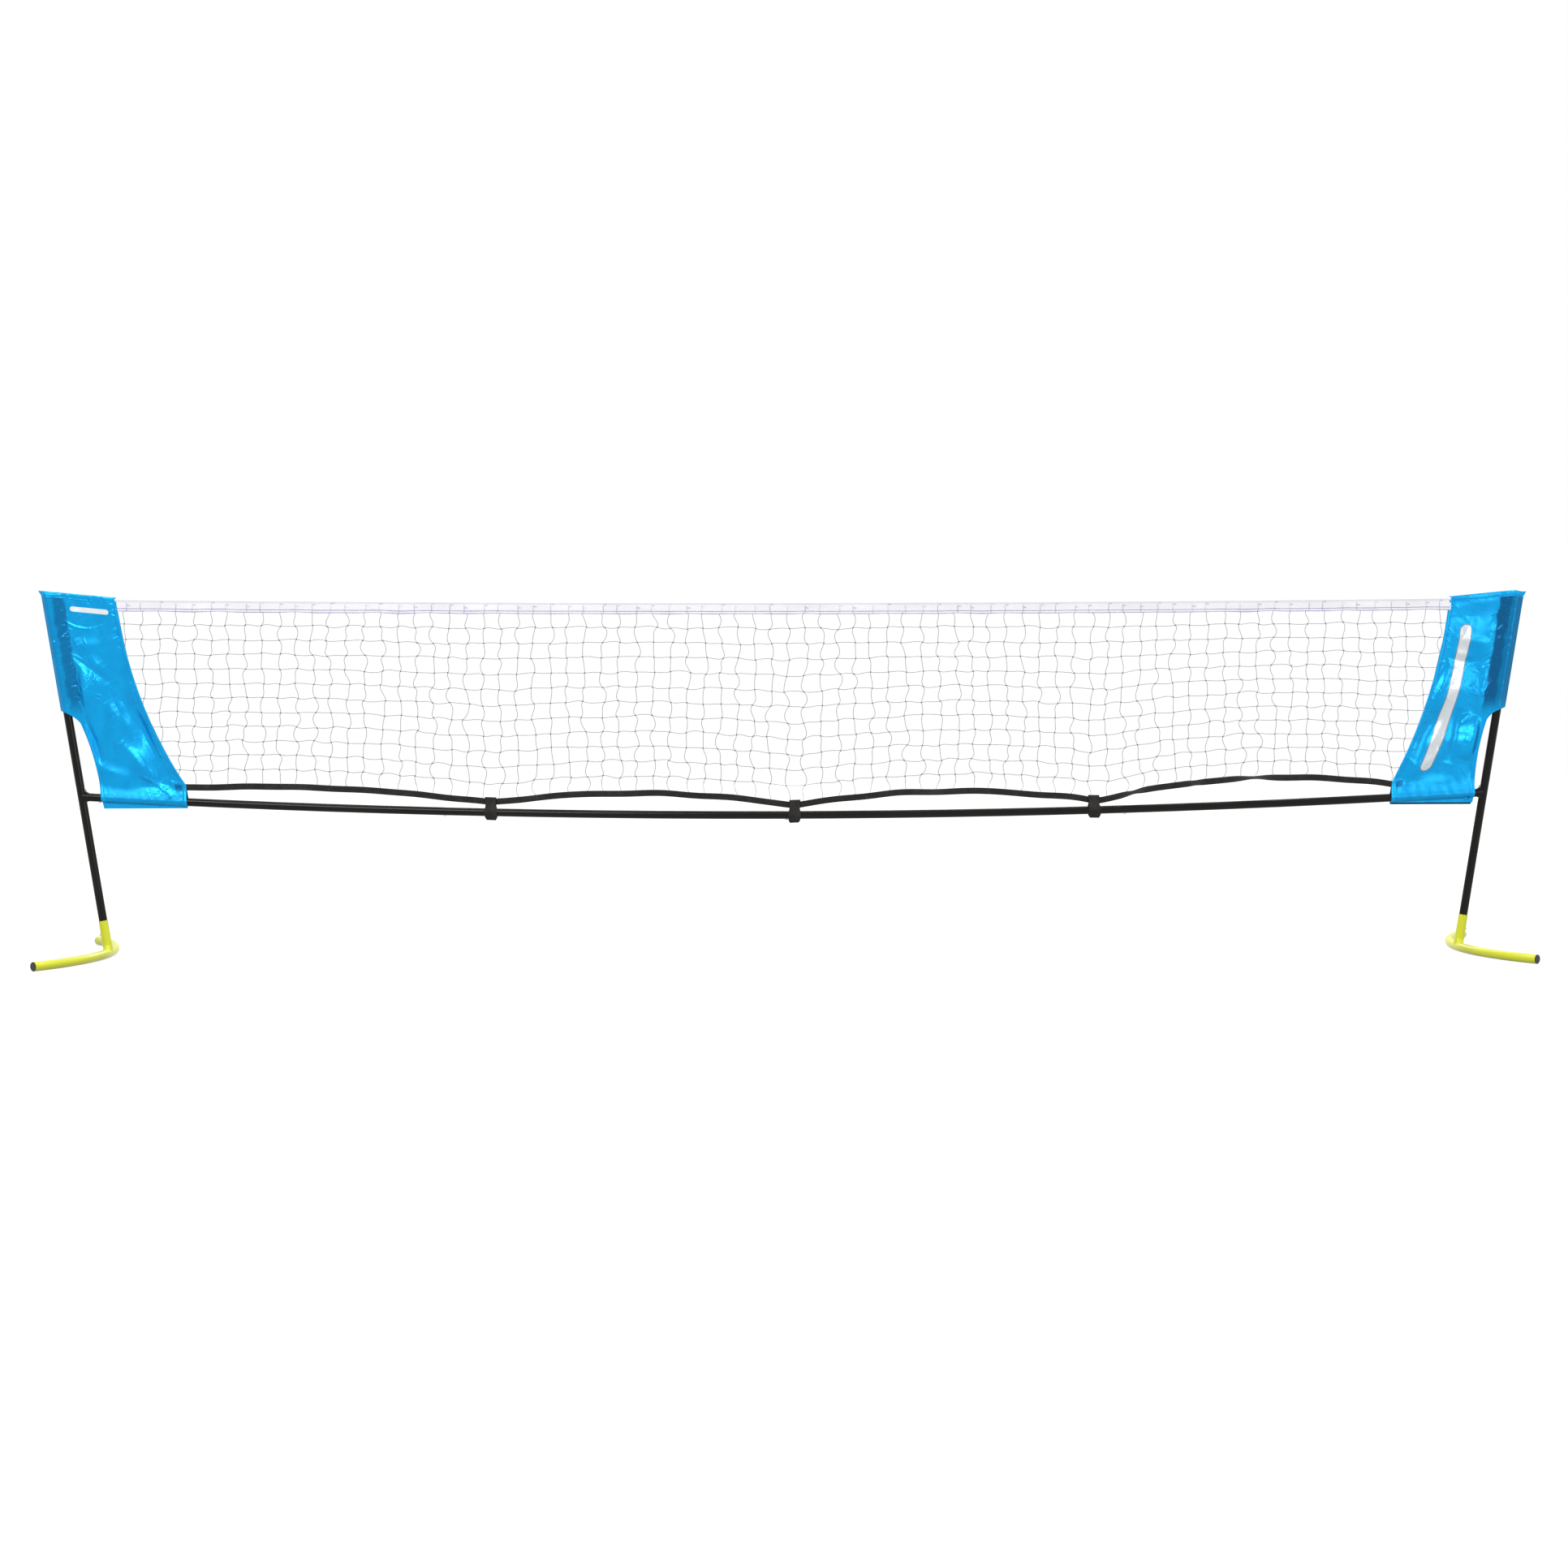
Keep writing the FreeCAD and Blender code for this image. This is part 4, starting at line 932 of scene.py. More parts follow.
def stripe_distance(material, across, along, half_length, lean_in):
    """Distance in the cloth from an upright line at across, centred on along, tilted by lean_in:
    the length of (x, max(|y| - half_length, 0)) in the line's own coordinates."""
    line = read_at(material, node(material, "Mapping", {"vector_type": "TEXTURE"},
                                  Location=(across, along, 0), Rotation=(0, 0, lean_in)), "cloth")
    parts = read_at(material, node(material, "SeparateXYZ"), line.outputs["Vector"]).outputs
    past = maths(material, "SUBTRACT", maths(material, "ABSOLUTE", parts["Y"]), half_length)
    nearest = node(material, "CombineXYZ")
    feed(material, parts["X"], nearest.inputs[0])
    feed(material, maths(material, "MAXIMUM", past, 0.0), nearest.inputs[1])
    length = node(material, "VectorMath", {"operation": "LENGTH"})
    return read_at(material, length, nearest.outputs[0]).outputs["Value"]


print("a print's rim is %.1f mm wide" % (1000 * (RIM - RIM_INSIDE[0])))


# %% Satin
def crushed(material):
    """Fine crush lines: a noise is folded at its middle, |2n - 1|, which leaves sharp valleys; those
    become thin ridges, and a slower noise keeps them to a few patches."""
    folded = maths(material, "ABSOLUTE",
                   maths(material, "MULTIPLY_ADD", noise(material, 46.0, 3.0, 0.6), 2.0, -1.0))
    patches = ramp(material, noise(material, 14.0, 2.0), 0.46, 0.62)
    return maths(material, "MULTIPLY", ramp(material, folded, 0.0, 0.10, 1.0, 0.0), patches)


def satin(name, print_at, print_size, ink, lean_in):
    """Blue satin with one plain bar printed on it: print_size is (half width, half length)."""
    material, shader = new_material(name, Metallic=0.36, Specular_IOR_Level=0.40,
                                    Specular_Tint=(0.35, 0.78, 1.0, 1))
    stretched = read_at(material, node(material, "Mapping", Scale=(3800.0, 260.0, 1.0)), "cloth")
    yarn = noise(material, 1.0, 2.0, 0.5, stretched.outputs["Vector"])
    cloudy = ramp(material, noise(material, 26.0, 4.0), 0.3, 0.7)
    colour = blend_colours(material, cloudy, SATIN, SATIN_DEEP)
    half_width, half_length = print_size
    if half_width > 0:
        distance = stripe_distance(material, *print_at, half_length, lean_in)
        rim_ink = SILVER_EDGE if ink is SILVER else ink
        for start, end, paint in ((0.0, RIM, rim_ink), (*RIM_INSIDE, ink)):
            share = ramp(material, distance, half_width + start, half_width + end, 1.0, 0.0)
            colour = blend_colours(material, share, colour, paint)
    # painted shade: the stored shade masks darken the satin towards a deep blue
    for stored, most in (("shade", 0.93), ("tab", 0.78)):
        share = ramp(material, attribute(material, stored), 0, 1, 0.0, most)
        colour = blend_colours(material, share, colour, SATIN_PAINTED_SHADE)
    link(material, colour, shader.inputs["Base Color"])
    link(material, ramp(material, yarn, 0.3, 0.7, 0.24, 0.36), shader.inputs["Roughness"])
    lines = bump(material, yarn, 0.0002, 0.22)
    dents = bump(material, noise(material, 70.0, 2.0), 0.0010, 0.06, lines)
    link(material, bump(material, crushed(material), 0.0008, 0.30, dents), shader.inputs["Normal"])
    print("satin:", name)
    return material


stripe_satin = satin("satin with a stripe", (0.052, 0.565), (0.0135, 0.150), SILVER, 0.035)
bar_satin = satin("satin with a small bar", (0.062, 0.762), (0.0052, 0.036), WHITE_INK, 1.67)
plain_satin = satin("plain satin", (0, 0), (0, 0), SILVER, 0.0)
SATIN_FACE = {("right", "front"): 0, ("right", "back"): 1, ("left", "front"): 1, ("left", "back"): 0}

# %% The two sleeves
sleeves = {}
for name, spec in SLEEVES.items():
    layers = sleeve_layers[name]
    sheets, coordinates, shades, faces_of = [], [], {"shade": [], "tab": []}, []
    for face in ("front", "back"):
        rows, columns = layers[face]["points"].shape[:2]
        turned = (face == "back") != (spec["side"] < 0)
        quads = grid_faces(rows, columns, flip=turned)
        sheets.append((layers[face]["points"], quads))
        coordinates.append(layers[face]["cloth"].reshape(-1, 2))
        faces_of.append(np.full(len(quads), SATIN_FACE[name, face]))
        for key in shades:
            shades[key].append(layers[face][key].ravel())
    points, quads = joined(sheets)
    sleeve = piece("sleeve_cloth_" + name, points, quads, np.concatenate(coordinates),
                   {key: np.concatenate(values) for key, values in shades.items()}, weld=True)
    sleeve.data.materials.append(stripe_satin)
    dress(sleeve, bar_satin, "sleeve_fabric", "sleeve_" + name)
    sleeve.data.polygons.foreach_set("material_index", np.concatenate(faces_of).astype(np.int32))
    sleeves[name] = sleeve


# %% [markdown]
# A hem is the cloth's edge turned in and sewn down, so it is a band a little prouder than the sheet,
# with a groove where the stitches pull.  Each hem takes its path from the sheet's own grid: a band of
# points at chosen distances from the edge, lifted off the front layer, carried round the edge and
# laid on the back layer.  Round the bar the two layers stand apart, so there each keeps a hem of its
# own and the mouth between them stays open.

# %% Places on a sleeve's grid
HEM_STEPS = np.array([0.0090, 0.0088, 0.0080, 0.0074, 0.0070, 0.0064, 0.0045, 0.0020, 0.0004])
HEM_PROUD = np.array([0.0001, 0.0006, 0.0006, 0.0002, 0.0002, 0.0007, 0.0008, 0.0008, 0.0006])
STITCH_IN = 0.0072
HEM_RETURN = 0.0006          # how far a hem turns in behind its edge
MOUTH_GAP = 0.003            # layers further apart than this keep hems of their own
TOP_HEM = 1.45               # the top hem is wider than the others by this factor
EDGE_PAST, TOP_PAST = 0.0006, 0.0005      # how far a hem's turn stands off the cloth's edge
INNER_STEPS, OUTER_STEPS, TOP_STEPS = 330, 200, 150


def at(grid, row, column):
    """Point of a grid at fractional rows and columns: the mean of its four neighbours, by share."""
    r = np.clip(np.floor(row).astype(int), 0, grid.shape[0] - 2)
    c = np.clip(np.floor(column).astype(int), 0, grid.shape[1] - 2)
    fr, fc = (row - r)[..., None], (column - c)[..., None]
    low = grid[r, c] * (1 - fc) + grid[r, c + 1] * fc
    high = grid[r + 1, c] * (1 - fc) + grid[r + 1, c + 1] * fc
    return low * (1 - fr) + high * fr


def column_of(grid, row, inset, from_fold):
    """Fractional column that lies inset from the inner edge, or from the outer one."""
    edge, far = at(grid, row, 0.0 * row), at(grid, row, 0.0 * row + SLEEVE_COLUMNS - 1)
    share = np.clip(inset / np.abs(far[..., 0] - edge[..., 0]), 0, 1)
    share = 1 - share if from_fold else share
    return (SLEEVE_COLUMNS - 1) * (1 - (1 - share) ** (1 / CROWDING))


def row_of(grid, column, height_under_top):
    """Fractional row that lies that far under the top hem, at each column."""
    last, some = grid.shape[0] - 1, 60
    top, lower = (at(grid, 0.0 * column + row, column)[..., 2] for row in (last, last - some))
    return last - some * height_under_top / (top - lower)


print("a hem is %.1f mm wide, and %.2f times that along the top" % (1000 * HEM_STEPS[0], TOP_HEM))


# %% Hems
def hem_band(layers, rows, columns, past, backwards):
    """Points and quads of the band over an edge.  rows and columns are grids (along, inset) of places
    on both layers, and past is how far the turn stands off the edge.  Each layer's turn goes towards
    the middle by HEM_RETURN at most, so the two meet only where the layers lie together."""
    out = HEM_PROUD[None, :, None] * np.array([0, 1, 0])
    front = at(layers["front"]["points"], rows, columns) - out
    back = at(layers["back"]["points"], rows, columns) + out
    across = back[:, -1] - front[:, -1]
    gap = np.linalg.norm(across, axis=-1)
    turn = across * np.minimum(0.5, HEM_RETURN / gap)[:, None]
    front_turn, back_turn = (edge[:, -1] + way * turn + np.array(past)
                             for edge, way in ((front, 1), (back, -1)))
    points = np.concatenate([front, front_turn[:, None], back_turn[:, None], back[:, ::-1]], 1)
    wide, count = points.shape[:2]
    quads = grid_faces(wide, count, flip=backwards)
    kept = np.ones((wide - 1, count - 1), bool)
    kept[:, len(HEM_STEPS)] = np.maximum(gap[:-1], gap[1:]) < MOUTH_GAP
    return points, quads[kept.ravel()]


def steps_along(last, count, insets):
    """Grid (count, insets) of even steps from 0 to last, the same at every inset."""
    return np.linspace(0, last, count)[:, None] + 0 * insets


sewn_on = {name: [] for name in SLEEVES}      # what goes with each sleeve's cloth
for name, spec in SLEEVES.items():
    layers, side = sleeve_layers[name], spec["side"]
    front = layers["front"]
    grid = front["points"]
    rows = steps_along(grid.shape[0] - 1, INNER_STEPS, HEM_STEPS)
    inner = hem_band(layers, rows, column_of(grid, rows, HEM_STEPS[None, :], False),
                     (-EDGE_PAST * side, 0, 0), side > 0)
    unfolded = front["x"][:, -1] < post_x(front["z"][:, -1]) - SEAM_REACH + 0.004
    rows = steps_along(np.flatnonzero(unfolded)[-1], OUTER_STEPS, HEM_STEPS)
    outer = hem_band(layers, rows, column_of(grid, rows, HEM_STEPS[None, :], True),
                     (EDGE_PAST * side, 0, 0), side < 0)
    columns = steps_along(SLEEVE_COLUMNS - 1, TOP_STEPS, HEM_STEPS)
    top = hem_band(layers, row_of(grid, columns, TOP_HEM * HEM_STEPS[None, :]), columns,
                   (0, 0, TOP_PAST), side > 0)
    points, quads = joined([inner, outer, top])
    cloth = np.stack([np.abs(points[:, 0]) - 1.3, points[:, 2]], -1)
    hem = piece("sleeve_hem_" + name, points, quads, cloth)
    sewn_on[name].append(dress(hem, plain_satin, "sleeve_fabric"))


# %% [markdown]
# Stitches are real thread: each one is a short arched strand, five-sided, that dips into the cloth at
# both ends.  One function lays them along any line at an even pitch.

# %% Stitches
THREAD_R = 0.00022


def strands(paths, radius, sides=5, across=(0, 1, 0)):
    """Tubes along many paths at once: paths is (count, steps, 3).  Each ring lies square to its
    path, on the path's direction crossed with across."""
    ahead = np.gradient(paths, axis=1)
    ahead /= np.maximum(np.linalg.norm(ahead, axis=-1, keepdims=True), 1e-9)
    first = np.cross(ahead, np.broadcast_to(across, paths.shape))
    first /= np.maximum(np.linalg.norm(first, axis=-1, keepdims=True), 1e-9)
    second = np.cross(ahead, first)
    angle = np.arange(sides) * 2 * math.pi / sides
    ring = (first[:, :, None] * np.cos(angle)[None, None, :, None]
            + second[:, :, None] * np.sin(angle)[None, None, :, None])
    points = paths[:, :, None] + ring * np.broadcast_to(radius, paths.shape[:2])[:, :, None, None]
    count, steps = paths.shape[:2]
    one = grid_faces(steps, sides, wrap_columns=True)
    quads = one[None] + np.arange(count)[:, None, None] * steps * sides
    return points.reshape(-1, 3), quads.reshape(-1, 4)


def stitch_paths(line, outwards, pitch=0.0034, cover=0.72, lift=0.0005):
    """Paths of stitches along a line of points, each covering part of the pitch and arched off the
    cloth along outwards by lift."""
    travel = np.concatenate([[0], np.cumsum(np.linalg.norm(np.diff(line, axis=0), axis=1))])
    starts = np.arange(0, travel[-1] - pitch, pitch)
    t = np.linspace(0, 1, 5)
    where = starts[:, None] + t[None, :] * pitch * cover
    path = np.stack([np.interp(where, travel, line[:, k]) for k in range(3)], -1)
    return path + np.sin(math.pi * t)[None, :, None] * lift * np.asarray(outwards)


print("thread: %.2f mm thick" % (2000 * THREAD_R))


# %% The sleeves' stitches
MOTTLE = (0.3, 0.7)          # the middle part of a noise, where most of its values lie
blue_thread = finish("blue thread", ((0.010, 0.33, 0.68, 1), (0.004, 0.18, 0.44, 1)), MOTTLE,
                     lambda material: noise(material, 700.0), Roughness=0.55, Sheen_Weight=0.1)

for name, spec in SLEEVES.items():
    paths = []
    for face, away in (("front", -1), ("back", 1)):
        grid = sleeve_layers[name][face]["points"]
        rows = np.linspace(LEG_ROWS, len(grid) - 1, 400)
        up = np.linspace(0, len(grid) - 1, 400)
        columns = np.linspace(2, SLEEVE_COLUMNS - 8, 200)
        seam_rows = up[at(grid, up, 0 * up + SLEEVE_COLUMNS - 1)[:, 2] > POCKET_MOUTH_Z]
        edge = at(grid, seam_rows, 0 * seam_rows)
        seam_inset = pocket_seam(edge[:, 2] + 0.01) - np.abs(edge[:, 0])
        for line in (at(grid, rows, column_of(grid, rows, STITCH_IN, False)),
                     at(grid, row_of(grid, columns, STITCH_IN * TOP_HEM), columns),
                     at(grid, seam_rows, column_of(grid, seam_rows, seam_inset, False))):
            paths.append(stitch_paths(line + np.array([0, away * 0.0003, 0]), (0, away, 0)))
    points, quads = strands(np.concatenate(paths), THREAD_R)
    stitches = piece("sleeve_stitches_" + name, points, quads)
    sewn_on[name].append(dress(stitches, blue_thread, "sleeve_fabric"))


# %% [markdown]
# The net's own lines come next.  Its top follows the head tape's shallow sag.  Its foot follows the
# webbing, which is held down by three straps and arches up between them.  Both are parabolas, and
# the two sleeves' inner edges close the sides.

# %% Lines that the net follows
HEAD_END_Z, HEAD_SAG, HEAD_HEIGHT = 0.788, 0.008, 0.0275
STRAP_X = (-0.655, 0.0145, 0.680)
STRAP_HALF_GRIP = 0.0138
SPAN_RISE = (0.014, 0.022, 0.024, 0.030)
WEB_END_Z, WEB_OVER_BAR, WEB_HEIGHT = 0.373, 0.023, 0.0140
WEB_TUCK = 0.022             # how far the webbing runs on between a sleeve's layers
HALF_NET = float(inner_x(np.float64(HEAD_END_Z), 0.0))


def sleeve_edge(z, side):
    """x of the net's edge on one side: the inner edge of that sleeve."""
    return side * inner_x(z, SLEEVES["right" if side > 0 else "left"]["slip"])


def head_z(x):
    """Top of the head tape: a parabola that sags HEAD_SAG at the middle."""
    return HEAD_END_Z - HEAD_SAG * (1 - (x / HALF_NET) ** 2)


web_ends = [float(sleeve_edge(np.float64(WEB_END_Z - WEB_HEIGHT / 2), side)) for side in (-1, 1)]
marks = [(web_ends[0], WEB_END_Z)]
for strap_x in STRAP_X:
    held = float(bar_z(strap_x)) + WEB_OVER_BAR
    marks += [(strap_x - STRAP_HALF_GRIP, held), (strap_x + STRAP_HALF_GRIP, held)]
marks.append((web_ends[1], WEB_END_Z))
MARKS = np.array(marks)
RISES = np.array([SPAN_RISE[0], 0, SPAN_RISE[1], 0, SPAN_RISE[2], 0, SPAN_RISE[3]])


def web_z(x):
    """Middle of the foot webbing: between two marks a straight line plus 4 * rise * t * (1 - t)."""
    span = np.clip(np.searchsorted(MARKS[:, 0], x) - 1, 0, len(RISES) - 1)
    t = np.clip((x - MARKS[span, 0]) / (MARKS[span + 1, 0] - MARKS[span, 0]), 0, 1)
    straight = MARKS[span, 1] + t * (MARKS[span + 1, 1] - MARKS[span, 1])
    return straight + 4 * RISES[span] * t * (1 - t) + 0.0012 * ripples(x, 0 * x, 0.16, 71, spread=0.1)


print("the foot webbing is highest at %.3f m" % web_z(np.linspace(-1.3, 1.3, 400)).max())


# %% [markdown]
# The head tape is a white ribbon folded over a cord, with the net's top meshes sewn inside.  It is
# made as a profile, front panel, round top and back panel, carried along the sag.  The panels ripple
# a little, and the lower edges pinch at the line of stitches.

# %% The head tape's shape
TAPE_STEPS, TAPE_AROUND = 1400, 25
CORD_HALF = 0.0029           # cord and tape together, off the middle plane
TAPE_FLAT_HALF = 0.0011
MESH = 0.0372                # side of one mesh of the net
TAPE_STITCH_UP = 0.0060      # stitches above the tape's lower edge
TAPE_END_Z = 0.775           # height at which the sleeves' edges give the tape its length
TAPE_TUCK = 0.004            # how far it runs on between a sleeve's layers
TWINE_WIDTH, TWINE_PROUD = 0.0009, 0.0005      # twine felt through the tape

tape_ends = [sleeve_edge(np.float64(TAPE_END_Z), side) + side * TAPE_TUCK for side in (-1, 1)]
tape_x = np.linspace(*tape_ends, TAPE_STEPS)[:, None]
around = np.linspace(-1, 1, TAPE_AROUND)[None, :]
height = HEAD_HEIGHT + 0.0009 * ripples(tape_x, 0 * tape_x, 0.11, 81, spread=0.1)
down = (HEAD_HEIGHT * np.abs(around) ** 1.6 + 0 * tape_x) * height / HEAD_HEIGHT

# half thickness: round the cord, then flat, and pinched at the stitches
cord_half = np.sqrt(np.clip(CORD_HALF ** 2 - (down - CORD_HALF) ** 2, 0, None))
pinch = 1 - 0.45 * np.exp(-((height - down - TAPE_STITCH_UP) / 0.0008) ** 2)
thin = TAPE_FLAT_HALF * smooth(down, 0.0, 0.002) * pinch
panel = soft_max(cord_half, thin, 0.0006) * smooth(down, -0.0001, 0.0004)

# painted shade over each upright twine inside the tape, with a short hook to one side
column_at = np.round(tape_x / MESH)
twine_off = tape_x - column_at * MESH - 0.004 * np.sin(column_at * 2.7)
over_twine = np.exp(-(twine_off / TWINE_WIDTH) ** 2)
hook = np.exp(-((down - 0.0105 - 0.004 * np.sin(column_at * 1.9)) / 0.0008) ** 2)
hook = hook * smooth(twine_off, -0.0002, 0.001) * smooth(0.0085 - twine_off, 0, 0.002)
twine_shade_mask = np.clip(over_twine * smooth(down, 0.007, 0.010) + hook, 0, 1)

ridge = TWINE_PROUD * over_twine * smooth(down, 0.008, 0.011)
ripple = 0.0011 * ripples(tape_x, down, 0.15, 82) * smooth(down, 0.004, 0.02)
tape_y = np.sign(around) * (panel + ridge) + ripple
tape_points = np.stack([tape_x + 0 * tape_y, tape_y, head_z(tape_x) - down], -1)
tape_uv = np.stack([tape_x + 0 * down, np.sign(around) * down], -1)
print("head tape: %.3f m long" % (tape_ends[1] - tape_ends[0]))


# %% White tape
LILAC = (0.36, 0.33, 0.62, 1)
white_tape, tape_shader = new_material("white head tape", Roughness=0.62, Specular_IOR_Level=0.2)
base = blend_colours(white_tape, ramp(white_tape, noise(white_tape, 30.0), *MOTTLE),
                     (0.93, 0.93, 0.97, 1), (0.97, 0.97, 0.99, 1))
# painted shade: the stored twine mask darkens the tape towards lilac
base = blend_colours(white_tape, ramp(white_tape, attribute(white_tape, "twine"), 0, 1, 0.0, 0.70),
                     base, LILAC)
across_tape = read_at(white_tape, node(white_tape, "SeparateXYZ"), "cloth").outputs["Y"]
below_top = maths(white_tape, "ABSOLUTE", across_tape)
for line_at in (HEAD_HEIGHT - TAPE_STITCH_UP, HEAD_HEIGHT - 0.0006):
    distance = maths(white_tape, "ABSOLUTE", maths(white_tape, "SUBTRACT", below_top, line_at))
    share = ramp(white_tape, distance, 0.0005, 0.0010, 0.75, 0.0)
    base = blend_colours(white_tape, share, base, LILAC)
link(white_tape, base, tape_shader.inputs["Base Color"])
threads = read_at(white_tape, node(white_tape, "Mapping", Scale=(900.0, 2600.0, 1.0)), "cloth")
rib = noise(white_tape, 1.0, 2.0, 0.5, threads.outputs["Vector"])
link(white_tape, bump(white_tape, rib, 0.0002, 0.15), tape_shader.inputs["Normal"])

head_tape = piece("head_tape_cloth", tape_points, grid_faces(TAPE_STEPS, TAPE_AROUND, flip=True),
                  tape_uv, {"twine": twine_shade_mask})
dress(head_tape, white_tape, "head_tape", "head_tape")


# %% The head tape's stitches
lilac_thread = finish("lilac thread", ((0.27, 0.26, 0.46, 1), (0.40, 0.39, 0.60, 1)), MOTTLE,
                      lambda material: noise(material, 600.0), Roughness=0.6)
paths = []
for up_by in (TAPE_STITCH_UP, 0.0008):
    place = np.argmin(np.abs(height - down - up_by), axis=1)
    for back, away in ((False, -1), (True, 1)):
        index = np.where((place > TAPE_AROUND // 2) == back, place, TAPE_AROUND - 1 - place)
        line = tape_points[np.arange(TAPE_STEPS), index].copy()
        line[:, 2] = (head_z(tape_x) - height)[:, 0] + up_by
        line[:, 1] += away * 0.0003
        paths.append(stitch_paths(line[::6], (0, away, 0), 0.0046, 0.80))
points, quads = strands(np.concatenate(paths), 0.00030)
tape_stitches = dress(piece("head_tape_stitches", points, quads), lilac_thread, "head_tape")


# %% [markdown]
# The net is knotted from thin soft twine, so no mesh is quite square.  The knots sit near a regular
# lattice, nudged by a seeded amount, and each length of twine between two knots bows and wavers
# differently.  All lengths are worked out in one array and given their thickness together.

# %% The net's knots
NET_ROWS = 12
TWINE_R = 0.00062
NET_TUCK = 0.003             # how far twine ends inside a sleeve's hem
net_random = np.random.default_rng(2024)
columns = np.arange(-math.ceil(HALF_NET / MESH), math.ceil(HALF_NET / MESH) + 1)
level = np.arange(NET_ROWS + 1)
knot_x = columns[:, None] * MESH + 0.0028 * net_random.standard_normal((len(columns), NET_ROWS + 1))
knot_x += 0.0030 * ripples(columns[:, None] * MESH, level[None, :] * MESH, 0.35, 91)
net_low = web_z(knot_x) + WEB_HEIGHT / 2 - 0.001
net_high = head_z(knot_x) - HEAD_HEIGHT + 0.003
knot_z = net_low + (net_high - net_low) * level[None, :] / NET_ROWS
knot_z[:, 1:-1] += 0.0013 * net_random.standard_normal((len(columns), NET_ROWS - 1))
knot_y = 0.0006 * net_random.standard_normal(knot_x.shape)
knots = np.stack([knot_x, knot_y, knot_z], -1)
edge_here = np.where(knot_x > 0, sleeve_edge(knot_z, 1), -sleeve_edge(knot_z, -1))
inside = np.abs(knot_x) < edge_here - NET_TUCK
print("columns of knots:", len(columns))


# %% Twine between the knots
up_slope = np.clip(0.58 * net_random.standard_normal(knot_x.shape), -1.0, 1.0)
level_slope = np.clip(0.20 * net_random.standard_normal(knot_x.shape), -0.42, 0.42)


def twine_paths(start, end, sideways, first_slope, last_slope, steps=9):
    """Paths from start to end: straight, plus L * (a t (1-t)^2 - b t^2 (1-t)) along sideways, where a
    and b are the slopes at the two ends.  Each twine runs on through its knots with no kink."""
    t = np.linspace(0, 1, steps)[None, :, None]
    length = np.linalg.norm(end - start, axis=-1)[:, None, None]
    first, last = (np.broadcast_to(slope, len(start))[:, None, None]
                   for slope in (first_slope, last_slope))
    path = start[:, None] * (1 - t) + end[:, None] * t
    path = path + length * (first * t * (1 - t) ** 2 - last * t ** 2 * (1 - t)) * np.array(sideways)
    depth = 0.0012 * net_random.standard_normal((len(start), 1, 1)) * np.sin(math.pi * t)
    return path + depth * np.array([0, 1, 0])


def to_edge(point, side):
    """Point at the same height, just past the sleeve's inner edge, under its hem."""
    out = point.copy()
    out[..., 0] = sleeve_edge(point[..., 2], side) + NET_TUCK * side
    return out


upright = inside[:, :-1] & inside[:, 1:]
paths = [twine_paths(knots[:, :-1][upright], knots[:, 1:][upright], (1, 0, 0),
                     up_slope[:, :-1][upright], up_slope[:, 1:][upright])]
level_run = inside[:-1] & inside[1:]
level_run[:, [0, -1]] = False
paths.append(twine_paths(knots[:-1][level_run], knots[1:][level_run], (0, 0, 1),
                         level_slope[:-1][level_run], level_slope[1:][level_run]))
heights = np.linspace(0.36, 0.79, 900)
for side in (-1, 1):
    cut = inside[:, 1:] & ~inside[:, :-1] & (np.sign(knot_x[:, 1:]) == side)
    upper = knots[:, 1:][cut]
    meets = np.interp(np.abs(upper[:, 0]), side * sleeve_edge(heights, side), heights)
    lower = to_edge(np.stack([0 * meets, 0 * meets, meets], -1), side) - [0, 0, NET_TUCK]
    paths.append(twine_paths(upper, lower, (1, 0, 0), -up_slope[:, 1:][cut], 0.0))
    last = np.where(inside, side * knot_x, -1).argmax(axis=0)[1:-1]
    ends = knots[last, level[1:-1]]
    paths.append(twine_paths(ends, to_edge(ends, side), (0, 0, 1),
                             side * level_slope[last, level[1:-1]], 0.0))
points, quads = strands(np.concatenate(paths), TWINE_R, sides=4, across=(0.0, 1.0, 0.001))
twine = finish("grey twine", ((0.46, 0.46, 0.50, 1), (0.34, 0.34, 0.38, 1)), MOTTLE,
               lambda material: noise(material, 1800.0), (0.0003, 0.5),
               Roughness=0.75, Specular_IOR_Level=0.2)
dress(piece("net_twine", points, quads), twine, "twine", "net")


# %% [markdown]
# A knot is a small tight lump where two twines loop through each other.  It is drawn as two short
# crossed rolls, one leaning each way, of few faces, because there are more than eight hundred.

# %% Knots
def rolls(centres, along, length, radius, steps=5):
    """Short fat strands through centres, thick in the middle: radius * sqrt(1 - u^2) at the ends."""
    u = np.linspace(-1, 1, steps)
    path = centres[:, None] + np.asarray(along) * (u * length)[None, :, None]
    thick = radius * np.sqrt(1 - 0.98 * u ** 2)
    return strands(path, np.broadcast_to(thick, path.shape[:2]), sides=5, across=(0.02, 1.0, 0.01))


real = inside.copy()
real[:, [0, -1]] = False
centres = knots[real]
turn = net_random.uniform(0.5, 1.1, (len(centres), 1, 1))
lean_one = np.concatenate([np.cos(turn), 0.35 + 0 * turn, np.sin(turn)], -1)
lean_two = np.concatenate([-np.sin(turn), 0.35 + 0 * turn, np.cos(turn)], -1)
points, quads = joined([rolls(centres - [0, 0.0003, 0], lean_one, 0.0019, 0.00125),
                        rolls(centres + [0, 0.0003, 0], lean_two, 0.0018, 0.00115)])
